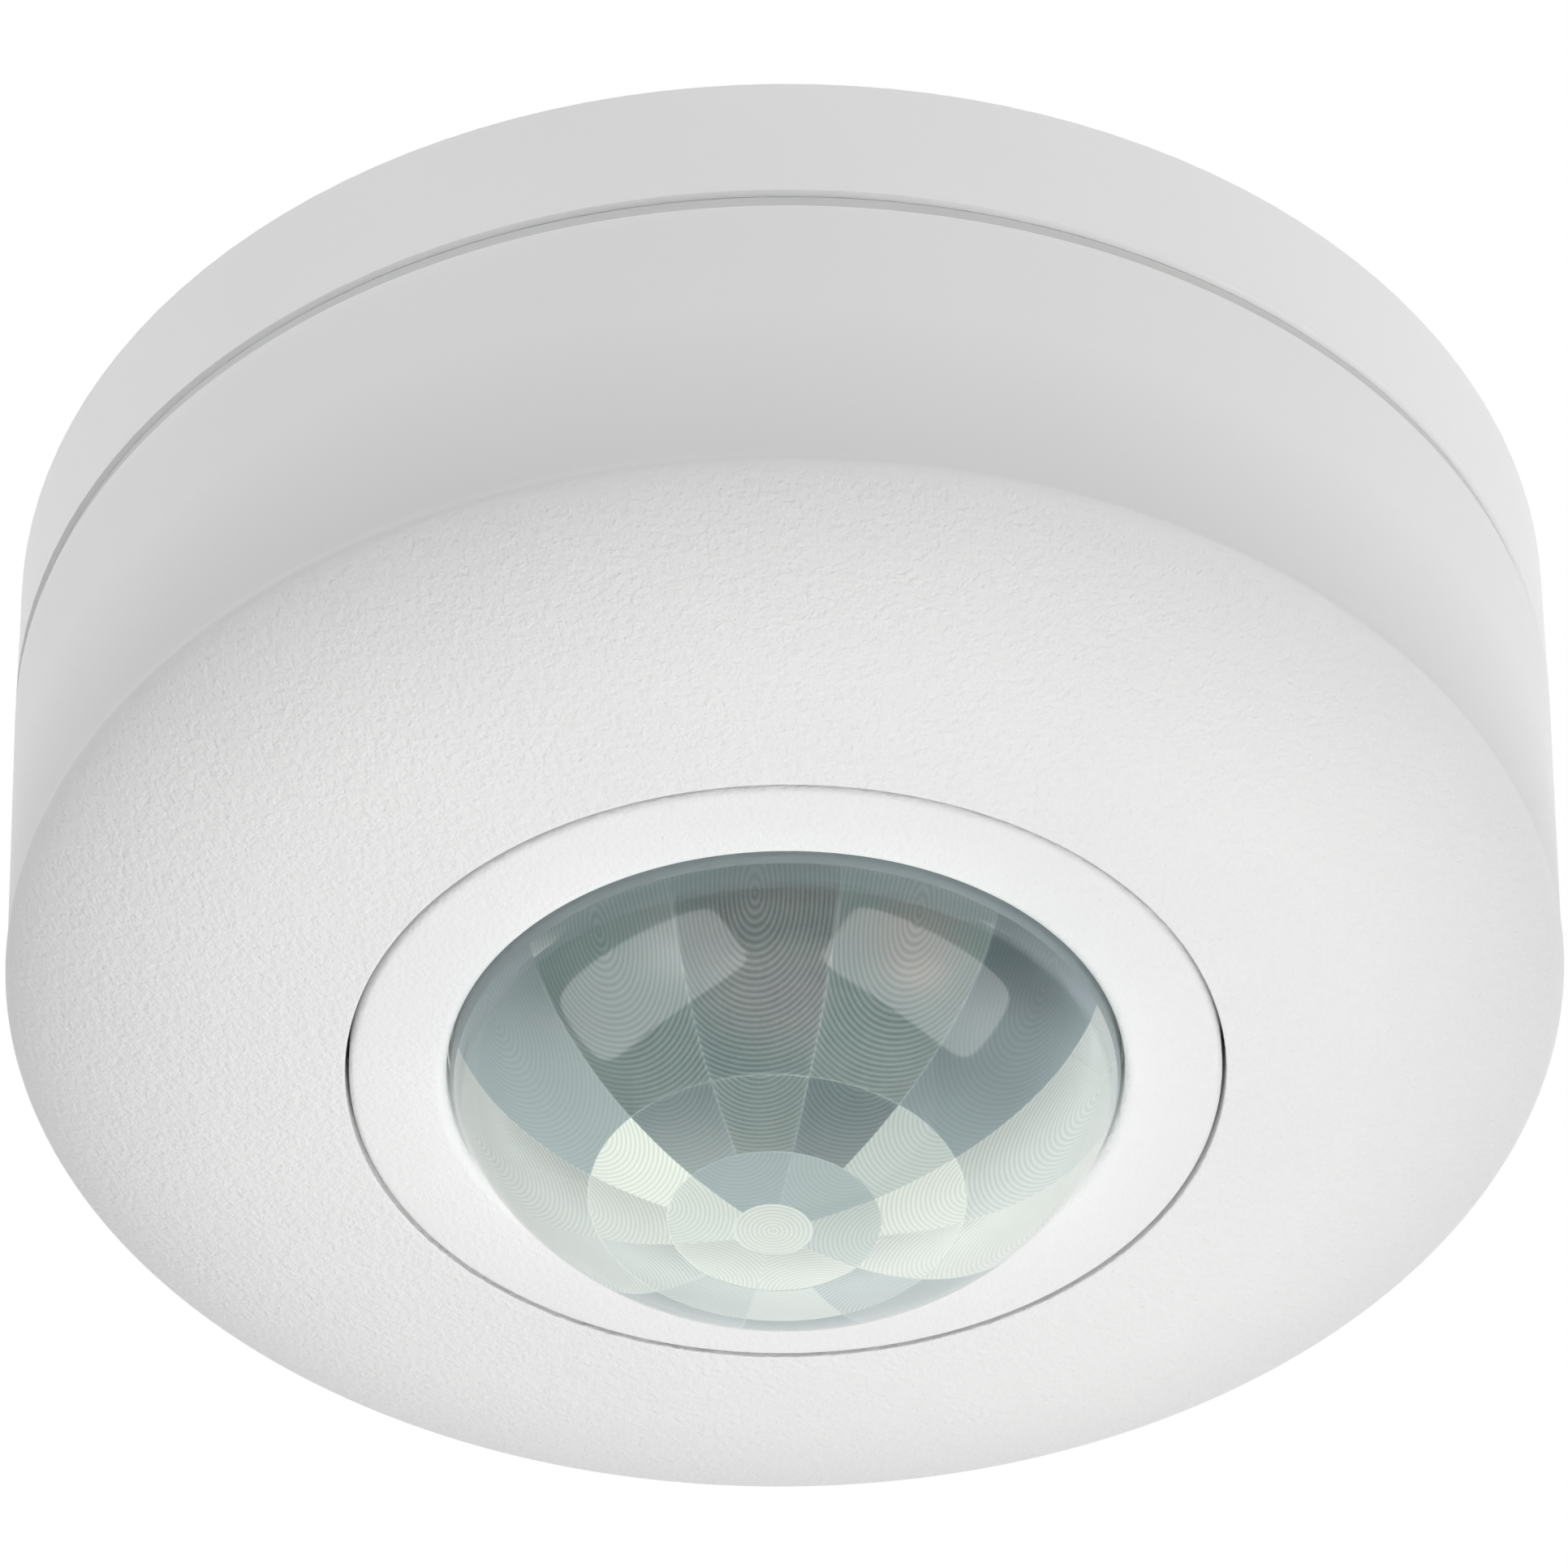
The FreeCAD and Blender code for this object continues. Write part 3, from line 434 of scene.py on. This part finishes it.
def lens_radii(limit_r):
    """Radii of the inner face's rings of vertices, with a pair at the edge of each ring of facets."""
    limits = [outer for outer, _, _, _ in facet_rings()]
    radii = [number * FACET_STEP for number in range(1, int(limit_r / FACET_STEP))]
    radii = [r for r in radii if all(abs(r - limit) > 1.5 * RING_MARGIN for limit in limits)]
    for limit in limits:
        radii += [limit - RING_MARGIN, limit + RING_MARGIN]
    return sorted(radii)


def lens_angles():
    """Angles of the inner face's columns of vertices: every degree, with a pair at each seam."""
    seams = [OUTER_SEAM + OUTER_SPAN * number for number in range(OUTER_FACETS)]
    angles = [float(degrees) for degrees in range(360) if degrees not in seams]
    for seam in seams:
        angles += [seam - SEAM_MARGIN, seam + SEAM_MARGIN]
    return sorted(angles)


def make_lens():
    """Domed shell: smooth and glossy outside, faceted inside, with a clamping flange."""
    angles = lens_angles()
    columns = len(angles)
    vertices = []
    faces = []

    def add_ring(radius, height):
        start = len(vertices)
        for degrees in angles:
            angle = math.radians(degrees)
            vertices.append((radius * math.cos(angle), radius * math.sin(angle), height))
        return start

    def add_facet_ring(radius):
        start = len(vertices)
        shift = PATTERN_LEAN * (1 - (radius / LENS_BORE_R) ** 2)
        for degrees in angles:
            angle = math.radians(degrees)
            x = radius * math.cos(angle) - shift
            y = radius * math.sin(angle)
            skin = LENS_WALL - facet_depth(radius, degrees)
            vertices.append((x, y, dome_z(math.hypot(x, y), skin)))
        return start

    def bridge(first, second):
        for column in range(columns):
            following = (column + 1) % columns
            faces.append((first + column, first + following, second + following, second + column))

    def cap(ring, x, z):
        vertices.append((x, 0.0, z))
        pole = len(vertices) - 1
        for column in range(columns):
            faces.append((ring + column, ring + (column + 1) % columns, pole))

    rings = [add_facet_ring(radius) for radius in lens_radii(LENS_BORE_R)]
    rings.append(add_ring(LENS_BORE_R, dome_z(LENS_BORE_R, LENS_WALL)))
    for first, second in zip(rings, rings[1:]):
        bridge(first, second)
    cap(rings[0], -PATTERN_LEAN, dome_z(PATTERN_LEAN, LENS_WALL))
    facet_count = len(faces)

    straight = [(LENS_BORE_R, LENS_TOP), (LENS_FLANGE_R, LENS_TOP), (LENS_FLANGE_R, LENS_FLANGE_LOW),
                (LENS_R, LENS_FLANGE_LOW), (LENS_R, dome_z(LENS_R))]
    outside = [rings[-1]] + [add_ring(radius, height) for radius, height in straight]
    rim_angle = math.acos(LENS_R / DOME_R)
    for number in range(1, DOME_STEPS):
        radius = DOME_R * math.cos(rim_angle + (math.pi / 2 - rim_angle) * number / DOME_STEPS)
        outside.append(add_ring(radius, dome_z(radius)))
    for first, second in zip(outside, outside[1:]):
        bridge(first, second)
    cap(outside[-1], 0.0, LENS_APEX)

    mesh = bpy.data.meshes.new("lens_dome")
    mesh.from_pydata(vertices, [], faces)
    mesh.materials.append(lens_shell_material())
    mesh.materials.append(lens_facet_material())
    mesh.materials.append(shroud_material("frosted skirt", SKIRT_DARK, SKIRT_LIGHT))
    shell_count = len(faces) - facet_count - columns
    looks = [1] * facet_count + [2] * columns + [0] * shell_count
    mesh.polygons.foreach_set("material_index", looks)
    finish_mesh(mesh, SHARP_LENS_DEGREES)
    piece = new_object("lens_dome", mesh)
    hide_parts("fresnel_lens")
    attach(piece, "base")
    return piece


# =====================================================================
# Node helper
# =====================================================================
class Net:
    """Adds nodes to one tree; a value may be a constant or another node's output."""

    def __init__(self, tree):
        self.nodes = tree.nodes
        self.links = tree.links

    def feed(self, socket, value):
        """Sets a socket's value, or links it when the value is another node's output."""
        if isinstance(value, bpy.types.NodeSocket):
            self.links.new(value, socket)
        else:
            socket.default_value = value

    def node(self, kind, **inputs):
        """New node; an underscore in an input's name stands for a space."""
        node = self.nodes.new(kind)
        for name, value in inputs.items():
            self.feed(node.inputs[name.replace("_", " ")], value)
        return node

    def math(self, operation, *values):
        node = self.nodes.new("ShaderNodeMath")
        node.operation = operation
        for socket, value in zip(node.inputs, values):
            self.feed(socket, value)
        return node.outputs["Value"]

    def length(self, across, along):
        square = self.math("MULTIPLY_ADD", across, across, self.math("MULTIPLY", along, along))
        return self.math("SQRT", square)

    def dot(self, vector, other):
        node = self.nodes.new("ShaderNodeVectorMath")
        node.operation = "DOT_PRODUCT"
        self.feed(node.inputs[0], vector)
        self.feed(node.inputs[1], other)
        return node.outputs["Value"]

    def place(self):
        """Object coordinates, which are metres in the frame."""
        return self.nodes.new("ShaderNodeTexCoord").outputs["Object"]

    def split(self, vector):
        node = self.node("ShaderNodeSeparateXYZ", Vector=vector)
        return node.outputs["X"], node.outputs["Y"], node.outputs["Z"]

    def noise(self, vector, scale, detail=2.0, roughness=0.5):
        node = self.node("ShaderNodeTexNoise", Vector=vector, Scale=scale, Detail=detail,
                         Roughness=roughness)
        return node.outputs["Fac"]

    def remap(self, value, from_low, from_high, to_low, to_high):
        node = self.node("ShaderNodeMapRange", Value=value, From_Min=from_low, From_Max=from_high,
                         To_Min=to_low, To_Max=to_high)
        return node.outputs["Result"]

    def pick(self, factor, first, second):
        """First where the factor is 0, second where it is 1."""
        node = self.nodes.new("ShaderNodeMix")
        self.feed(node.inputs[0], factor)
        self.feed(node.inputs[2], first)
        self.feed(node.inputs[3], second)
        return node.outputs[0]

    def steps(self, share, tones):
        """The tone of the step that a share from 0 to 1 falls in."""
        node = self.node("ShaderNodeValToRGB", Fac=share)
        ramp = node.color_ramp
        ramp.interpolation = "CONSTANT"
        ramp.elements.remove(ramp.elements[1])
        for number, tone in enumerate(tones):
            stop = ramp.elements.new(number / len(tones)) if number else ramp.elements[0]
            stop.color = (tone, tone, tone, 1.0)
        return node.outputs["Color"]

    def blend_colour(self, factor, first, second):
        node = self.nodes.new("ShaderNodeMix")
        node.data_type = "RGBA"
        self.feed(node.inputs[0], factor)
        self.feed(node.inputs[6], (*first, 1.0) if isinstance(first, tuple) else first)
        self.feed(node.inputs[7], (*second, 1.0) if isinstance(second, tuple) else second)
        return node.outputs[2]

    def blend_shader(self, factor, first, second):
        node = self.nodes.new("ShaderNodeMixShader")
        self.feed(node.inputs[0], factor)
        self.links.new(first, node.inputs[1])
        self.links.new(second, node.inputs[2])
        return node.outputs["Shader"]

    def bump(self, height, distance, strength=1.0):
        node = self.node("ShaderNodeBump", Height=height, Distance=distance, Strength=strength)
        return node.outputs["Normal"]


def new_material(name):
    material = bpy.data.materials.new(name)
    material.use_nodes = True
    return material, Net(material.node_tree), material.node_tree.nodes["Principled BSDF"]


# =====================================================================
# Materials
# =====================================================================
def white_plastic(name, light, dark, grain, roughness, hollow=False):
    """White moulding with faint tone drift, uneven gloss and a fine moulded grain. With a hollow, the
    grain starts at the cover's shoulder, and the hollow between wall and face gets painted shade, a blend
    towards grey."""
    material, net, shader = new_material(name)
    place = net.place()
    drift = net.remap(net.noise(place, 30.0), 0.35, 0.65, 0.0, 1.0)
    colour = net.blend_colour(drift, dark, light)
    strength = 1.0
    if hollow:
        height = net.split(place)[2]
        deepest = SHOULDER_Z - SHADE_DEEPEST
        # painted shade: the white is blended towards grey round the hollow at the shoulder
        shade_from_wall = net.remap(height, SHOULDER_Z + SHADE_ABOVE, deepest, 0.0, SHOULDER_SHADE_SHARE)
        shade_from_face = net.remap(height, SHOULDER_Z - SHADE_BELOW, deepest, 0.0, SHOULDER_SHADE_SHARE)
        colour = net.blend_colour(net.math("MINIMUM", shade_from_wall, shade_from_face), colour, SHOULDER_SHADE_COLOUR)
        grain_z = SHOULDER_Z - GRAIN_START
        strength = net.remap(height, grain_z + GRAIN_FADE, grain_z - GRAIN_FADE, WALL_GRAIN, 1.0)
    net.feed(shader.inputs["Base Color"], colour)
    speck = net.noise(place, 900.0)
    net.feed(shader.inputs["Roughness"], net.remap(speck, 0.3, 0.7, roughness - 0.05, roughness + 0.05))
    net.feed(shader.inputs["Specular IOR Level"], 0.35)
    grain_scale, grain_depth = grain
    height_map = net.noise(place, grain_scale, 2.0, 0.6)
    net.feed(shader.inputs["Normal"], net.bump(height_map, grain_depth, strength))
    return material


def facet_pattern(net, place):
    """The lens pattern in nodes: distance to the facet's optical centre, offset from it as a vector,
    distance to the nearest seam, and a tone from 0 to 1 for each facet, which is painted light."""
    x, y, _ = net.split(place)
    real_square = net.math("MULTIPLY_ADD", x, x, net.math("MULTIPLY", y, y))
    lean = net.math("MULTIPLY_ADD", real_square, -PATTERN_LEAN / LENS_BORE_R ** 2, PATTERN_LEAN)
    x = net.math("ADD", x, lean)
    radius = net.length(x, y)
    angle = net.math("DEGREES", net.math("ARCTAN2", y, x))
    past_inner = net.math("GREATER_THAN", radius, INNER_RING_R)
    past_middle = net.math("GREATER_THAN", radius, MIDDLE_RING_R)
    in_disc = net.math("LESS_THAN", radius, DISC_R)

    span = net.math("MULTIPLY_ADD", past_inner, OUTER_SPAN - INNER_SPAN, INNER_SPAN)
    first_seam = net.math("MULTIPLY_ADD", past_inner, OUTER_SEAM - INNER_SEAM, INNER_SEAM)
    turn = net.math("DIVIDE", net.math("SUBTRACT", angle, first_seam), span)
    sector = net.math("FLOOR", turn)
    middle_turn = net.math("ADD", sector, 0.5)
    middle = net.math("RADIANS", net.math("MULTIPLY_ADD", middle_turn, span, first_seam))

    centre = net.math("MULTIPLY_ADD", past_inner, MIDDLE_CENTRE_R - INNER_CENTRE_R, INNER_CENTRE_R)
    centre = net.math("MULTIPLY_ADD", past_middle, OUTER_CENTRE_R - MIDDLE_CENTRE_R, centre)
    centre = net.math("MULTIPLY", centre, net.math("SUBTRACT", 1.0, in_disc))
    across_x = net.math("SUBTRACT", x, net.math("MULTIPLY", centre, net.math("COSINE", middle)))
    across_y = net.math("SUBTRACT", y, net.math("MULTIPLY", centre, net.math("SINE", middle)))
    reach = net.length(across_x, across_y)
    offset = net.node("ShaderNodeCombineXYZ", X=across_x, Y=across_y).outputs["Vector"]

    inside = net.math("SUBTRACT", turn, sector)
    edge = net.math("SUBTRACT", 0.5, net.math("ABSOLUTE", net.math("SUBTRACT", inside, 0.5)))
    to_seam = net.math("MULTIPLY", net.math("RADIANS", net.math("MULTIPLY", edge, span)), radius)
    to_seam = net.math("MAXIMUM", to_seam, in_disc)
    for limit in (DISC_R, INNER_RING_R, MIDDLE_RING_R):
        to_ring = net.math("ABSOLUTE", net.math("SUBTRACT", radius, limit))
        to_seam = net.math("MINIMUM", to_seam, to_ring)

    share = net.math("FRACT", net.math("DIVIDE", middle_turn, net.math("DIVIDE", 360.0, span)))
    inner, middle_ring, outer = [net.steps(share, tones) for tones in FACET_PAINTED_TONES]
    tone = net.pick(past_middle, net.pick(past_inner, inner, middle_ring), outer)
    tone = net.pick(in_disc, tone, DISC_PAINTED_TONE)
    return reach, offset, to_seam, tone


def lens_output(net, surface):
    """Shadow rays pass straight through, so what lies inside is lit; other rays meet the real surface."""
    open_face = net.node("ShaderNodeBsdfTransparent", Color=LENS_TINT).outputs["BSDF"]
    shadow = net.nodes.new("ShaderNodeLightPath").outputs["Is Shadow Ray"]
    output = next(node for node in net.nodes if node.type == "OUTPUT_MATERIAL")
    net.links.new(net.blend_shader(shadow, surface, open_face), output.inputs["Surface"])


def lens_shell_material():
    """Outer face of the lens: clear and glossy, with a bluish band round its foot and a gate mark."""
    material, net, shader = new_material("lens shell")
    net.nodes.remove(shader)
    place = net.place()
    x, y, _ = net.split(place)
    band = net.remap(net.length(x, y), BAND_R - BAND_BLUR, BAND_R + BAND_BLUR, 0.0, 1.0)
    cloud = net.remap(net.noise(place, 140.0, 4.0), 0.3, 0.7, *SHELL_VEIL)
    veil = net.math("MULTIPLY_ADD", band, SHELL_BAND_VEIL, cloud)
    milk = net.node("ShaderNodeBsdfDiffuse", Color=SHELL_MILK).outputs["BSDF"]
    clear = net.node("ShaderNodeBsdfRefraction", Color=LENS_TINT, Roughness=0.02,
                     IOR=LENS_IOR).outputs["BSDF"]
    body = net.blend_shader(veil, clear, milk)
    from_gate = net.length(net.math("ADD", x, PATTERN_LEAN), y)
    gate = net.remap(from_gate, GATE_R, GATE_FOOT_R, 1.0, 0.0)
    wave = net.math("MULTIPLY_ADD", net.noise(place, 90.0), 0.02, gate)
    smooth = net.bump(wave, GATE_HEIGHT, 0.6)
    shine = net.node("ShaderNodeBsdfAnisotropic", Color=(1.0, 1.0, 1.0, 1.0), Roughness=0.05,
                     Normal=smooth).outputs["BSDF"]
    fresnel = net.node("ShaderNodeFresnel", IOR=SHELL_IOR).outputs["Fac"]
    behind = net.nodes.new("ShaderNodeNewGeometry").outputs["Backfacing"]
    gloss = net.math("MULTIPLY", fresnel, net.math("SUBTRACT", 1.0, behind))
    lens_output(net, net.blend_shader(gloss, body, shine))
    return material


def lens_facet_material():
    """Inner face of the lens: milky facets with fine grooves round each one's optical centre."""
    material, net, shader = new_material("lens facets")
    net.nodes.remove(shader)
    place = net.place()
    reach, offset, to_seam, tone = facet_pattern(net, place)
    phase = net.math("FRACT", net.math("DIVIDE", reach, GROOVE_PITCH))
    line = net.math("MULTIPLY", net.math("PINGPONG", phase, 0.5), 2.0)
    seam = net.remap(to_seam, SEAM_HALF_WIDTH, SEAM_FADE_R, 1.0, 0.0)
    cloud = net.remap(net.noise(place, 160.0, 4.0), 0.3, 0.7, *FACET_CLOUD)
    facing = net.node("ShaderNodeLayerWeight", Blend=0.5).outputs["Facing"]
    edge_on = net.remap(facing, *EDGE_ON_FACING, 0.0, EDGE_ON_HAZE)
    edge_share = net.math("MULTIPLY_ADD", tone, EDGE_ON_TONE, 1.0 - EDGE_ON_TONE)
    haze = net.math("MULTIPLY_ADD", tone, FACET_TONE, FACET_HAZE)
    haze = net.math("MULTIPLY_ADD", edge_on, edge_share, haze)
    haze = net.math("MULTIPLY_ADD", net.math("SUBTRACT", 1.0, line), FACET_GROOVE, haze)
    haze = net.math("MULTIPLY_ADD", seam, FACET_SEAM, haze)
    haze = net.math("ADD", haze, cloud)
    shade = net.math("MULTIPLY", line, GROOVE_SHADE)
    # painted light: each facet's tone sets how pale its milk and its tint are
    colour = net.blend_colour(tone, MILK_CLEAR, MILK_PALE)
    colour = net.blend_colour(shade, colour, MILK_GROOVE)
    diffuse = net.node("ShaderNodeBsdfDiffuse", Color=colour).outputs["BSDF"]
    through = net.node("ShaderNodeBsdfTranslucent", Color=colour).outputs["BSDF"]
    milk = net.blend_shader(MILK_THROUGH, diffuse, through)
    normal = net.nodes.new("ShaderNodeNewGeometry").outputs["Normal"]
    tilt = net.nodes.new("ShaderNodeVectorMath")
    tilt.operation = "MULTIPLY_ADD"
    net.feed(tilt.inputs[0], offset)
    net.feed(tilt.inputs[1], (FACET_POWER, FACET_POWER, FACET_POWER))
    net.feed(tilt.inputs[2], normal)
    unit = net.nodes.new("ShaderNodeVectorMath")
    unit.operation = "NORMALIZE"
    net.feed(unit.inputs[0], tilt.outputs["Vector"])
    tint = net.blend_colour(tone, TINT_CLEAR, TINT_PALE)
    tint = net.blend_colour(shade, tint, TINT_GROOVE)
    bent = net.node("ShaderNodeBsdfRefraction", Color=tint, Roughness=FACET_BLUR, IOR=LENS_IOR,
                    Normal=unit.outputs["Vector"]).outputs["BSDF"]
    lens_output(net, net.blend_shader(haze, bent, milk))
    return material


def shroud_material(name, dark, light):
    """Wall inside the lens; within the bore its far side has painted light, a glow that stands in for the
    light the dome gathers.
    """
    material, net, shader = new_material(name)
    place = net.place()
    drift = net.noise(place, 60.0)
    net.feed(shader.inputs["Base Color"], net.blend_colour(drift, dark, light))
    net.feed(shader.inputs["Roughness"], net.remap(net.noise(place, 500.0), 0.3, 0.7, 0.4, 0.6))
    x, y, _ = net.split(place)
    # painted light: emission inside the bore, weak at the middle and full towards the back
    in_bore = net.math("LESS_THAN", net.length(x, y), GLOW_R)
    glow = net.math("MULTIPLY", in_bore, net.remap(y, 0.0, GLOW_FULL_Y, GLOW_NEAR, 1.0))
    net.feed(shader.inputs["Emission Color"], PAINTED_GLOW_COLOUR)
    net.feed(shader.inputs["Emission Strength"], net.math("MULTIPLY", glow, SHROUD_PAINTED_GLOW))
    return material


def simple_material(name, colour, roughness, metallic=0.0):
    """One colour with tone drift, uneven gloss and fine grain."""
    material, net, shader = new_material(name)
    place = net.place()
    darker = tuple(channel * 0.92 for channel in colour)
    net.feed(shader.inputs["Base Color"], net.blend_colour(net.noise(place, 150.0), darker, colour))
    speck = net.noise(place, 600.0, 3.0)
    net.feed(shader.inputs["Roughness"], net.remap(speck, 0.3, 0.7, roughness - 0.08, roughness + 0.08))
    net.feed(shader.inputs["Metallic"], metallic)
    net.feed(shader.inputs["Normal"], net.bump(speck, 0.01 * MM, 0.5))
    return material


def dress_inner_nodes(taken):
    """Gives every CAD node that stays a procedural material for its record slot, but not those taken."""
    looks = {entry["slot"]: entry for entry in frame["record"]["materials"]}
    made = {}
    for entry in frame["record"]["subparts"]:
        slot = entry["material_slot"]
        if entry["node"] in taken:
            continue
        if slot not in made:
            colour = INNER_COLOURS.get(slot, tuple(looks[slot]["base_color"][:3]))
            if slot in METALS:
                made[slot] = simple_material("look " + slot, colour, METAL_ROUGHNESS, 1.0)
            else:
                made[slot] = simple_material("look " + slot, colour, PLASTIC_ROUGHNESS)
        node = frame["nodes"][entry["node"]]
        node.data.materials.clear()
        node.data.materials.append(made[slot])
    shroud = frame["nodes"]["lens_retainer"]
    shroud.data.materials.clear()
    shroud.data.materials.append(shroud_material("white shroud", SHROUD_DARK, SHROUD_LIGHT))


# =====================================================================
# Studio
# =====================================================================
def make_camera():
    """Camera below the object, looking up at its face."""
    data = bpy.data.cameras.new("camera")
    data.sensor_width = CAMERA_SENSOR
    data.lens = CAMERA_LENS
    data.clip_start, data.clip_end = CAMERA_CLIP
    camera = bpy.data.objects.new("camera", data)
    bpy.context.scene.collection.objects.link(camera)
    lift = math.radians(CAMERA_LIFT)
    roll = math.radians(CAMERA_ROLL)
    look = Vector((0.0, math.cos(lift), math.sin(lift)))
    right = Vector((1.0, 0.0, 0.0))
    up = right.cross(look)
    rolled_right = math.cos(roll) * right + math.sin(roll) * up
    rolled_up = -math.sin(roll) * right + math.cos(roll) * up
    turn = Matrix((rolled_right, rolled_up, -look)).transposed()
    camera.matrix_world = Matrix.Translation(CAMERA_PLACE) @ turn.to_4x4()
    bpy.context.scene.camera = camera


def make_floor():
    """Pale round floor far below the object."""
    work = bmesh.new()
    bmesh.ops.create_circle(work, cap_ends=True, segments=96, radius=FLOOR_R)
    mesh = bpy.data.meshes.new("floor")
    work.to_mesh(mesh)
    work.free()
    floor = new_object("floor", mesh)
    floor.location.z = FLOOR_Z
    material, net, shader = new_material("pale floor")
    drift = net.noise(net.place(), 3.0)
    net.feed(shader.inputs["Base Color"], net.blend_colour(drift, FLOOR_DARK, FLOOR_LIGHT))
    net.feed(shader.inputs["Roughness"], 0.8)
    mesh.materials.append(material)


def soft_box(net, direction, side):
    """Brightness of one large soft light with rounded corners, as seen from the object."""
    azimuth = math.radians(BOX_AZIMUTH)
    lift = math.radians(BOX_LIFT)
    level = math.cos(lift)
    aim = Vector((side * math.sin(azimuth) * level, math.cos(azimuth) * level, math.sin(lift)))
    across = aim.cross(Vector((0.0, 0.0, 1.0))).normalized()
    upward = across.cross(aim)
    ahead = net.dot(direction, aim)
    ahead_clamped = net.math("MAXIMUM", ahead, 0.01)
    total = 0.0
    for axis, half in ((across, BOX_HALF_WIDTH), (upward, BOX_HALF_HEIGHT)):
        shift = net.math("ABSOLUTE", net.math("DIVIDE", net.dot(direction, axis), ahead_clamped))
        part = net.math("POWER", net.math("DIVIDE", shift, half), BOX_SQUARENESS)
        total = net.math("ADD", part, total)
    return net.remap(total, *BOX_FADE, BOX_LIGHT, 0.0)


def make_lamp():
    """Large round light below the object, kept out of its reflections."""
    data = bpy.data.lights.new("lamp_below", "AREA")
    data.shape = "DISK"
    data.size = LAMP_SIZE
    data.energy = LAMP_POWER
    lamp = bpy.data.objects.new("lamp_below", data)
    bpy.context.scene.collection.objects.link(lamp)
    towards_object = (-Vector(LAMP_PLACE)).to_track_quat("-Z", "Y")
    lamp.matrix_world = Matrix.Translation(LAMP_PLACE) @ towards_object.to_matrix().to_4x4()
    lamp.visible_camera = False
    lamp.visible_glossy = False


def make_world():
    """Soft studio: a pale surround for matt surfaces, and two large soft lights for shiny ones."""
    world = bpy.data.worlds.new("studio")
    bpy.context.scene.world = world
    world.use_nodes = True
    net = Net(world.node_tree)
    direction = net.nodes.new("ShaderNodeTexCoord").outputs["Generated"]
    z = net.split(direction)[2]
    to_the_back = net.dot(direction, (0.0, 1.0, 0.0))
    below = net.remap(to_the_back, *BELOW_FADE, LIGHT_BELOW_NEAR, LIGHT_BELOW_FAR)
    above = net.remap(z, *OVERHEAD_FADE, LIGHT_ABOVE, LIGHT_OVERHEAD)
    is_above = net.remap(z, *HORIZON_FADE, 0.0, 1.0)
    matt = net.math("MULTIPLY_ADD", net.math("SUBTRACT", above, below), is_above, below)
    gloss = net.remap(z, *GLOSS_FADE, SURROUND_GLOSS, CEILING_GLOSS)
    for side in (-1, 1):
        gloss = net.math("ADD", soft_box(net, direction, side), gloss)
    rays = net.nodes.new("ShaderNodeLightPath").outputs
    strength = net.math("MULTIPLY_ADD", net.math("SUBTRACT", gloss, matt), rays["Is Glossy Ray"], matt)
    strength = net.math("MULTIPLY_ADD", net.math("SUBTRACT", 1.0, strength), rays["Is Camera Ray"], strength)
    background = net.nodes["Background"]
    net.feed(background.inputs["Strength"], strength)
    background.inputs["Color"].default_value = (1.0, 1.0, 1.0, 1.0)


def main():
    bpy.context.scene.view_settings.view_transform = "Standard"
    make_camera()
    make_floor()
    make_lamp()
    make_world()
    cover = make_cover()
    seal = make_seal()
    ring = make_trim_ring()
    make_lens()
    cover.data.materials.append(white_plastic("cover plastic", WHITE, OFF_WHITE, COVER_GRAIN, 0.5, True))
    ring.data.materials.append(white_plastic("ring plastic", WHITE, OFF_WHITE, RING_GRAIN, 0.5))
    # the seal's grey is partly painted shade of the gap
    seal.data.materials.append(simple_material("seal rubber and painted shade", SEAL_GREY_AND_SHADE, PLASTIC_ROUGHNESS))
    base = frame["nodes"]["surface_base"]
    base.data.materials.clear()
    base.data.materials.append(white_plastic("base plastic", BASE_LIT_WHITE, BASE_LIT_OFF_WHITE, BASE_GRAIN, 0.42))
    dress_inner_nodes(("cover", "trim_ring", "fresnel_lens", "surface_base", "seal_ring"))


main()
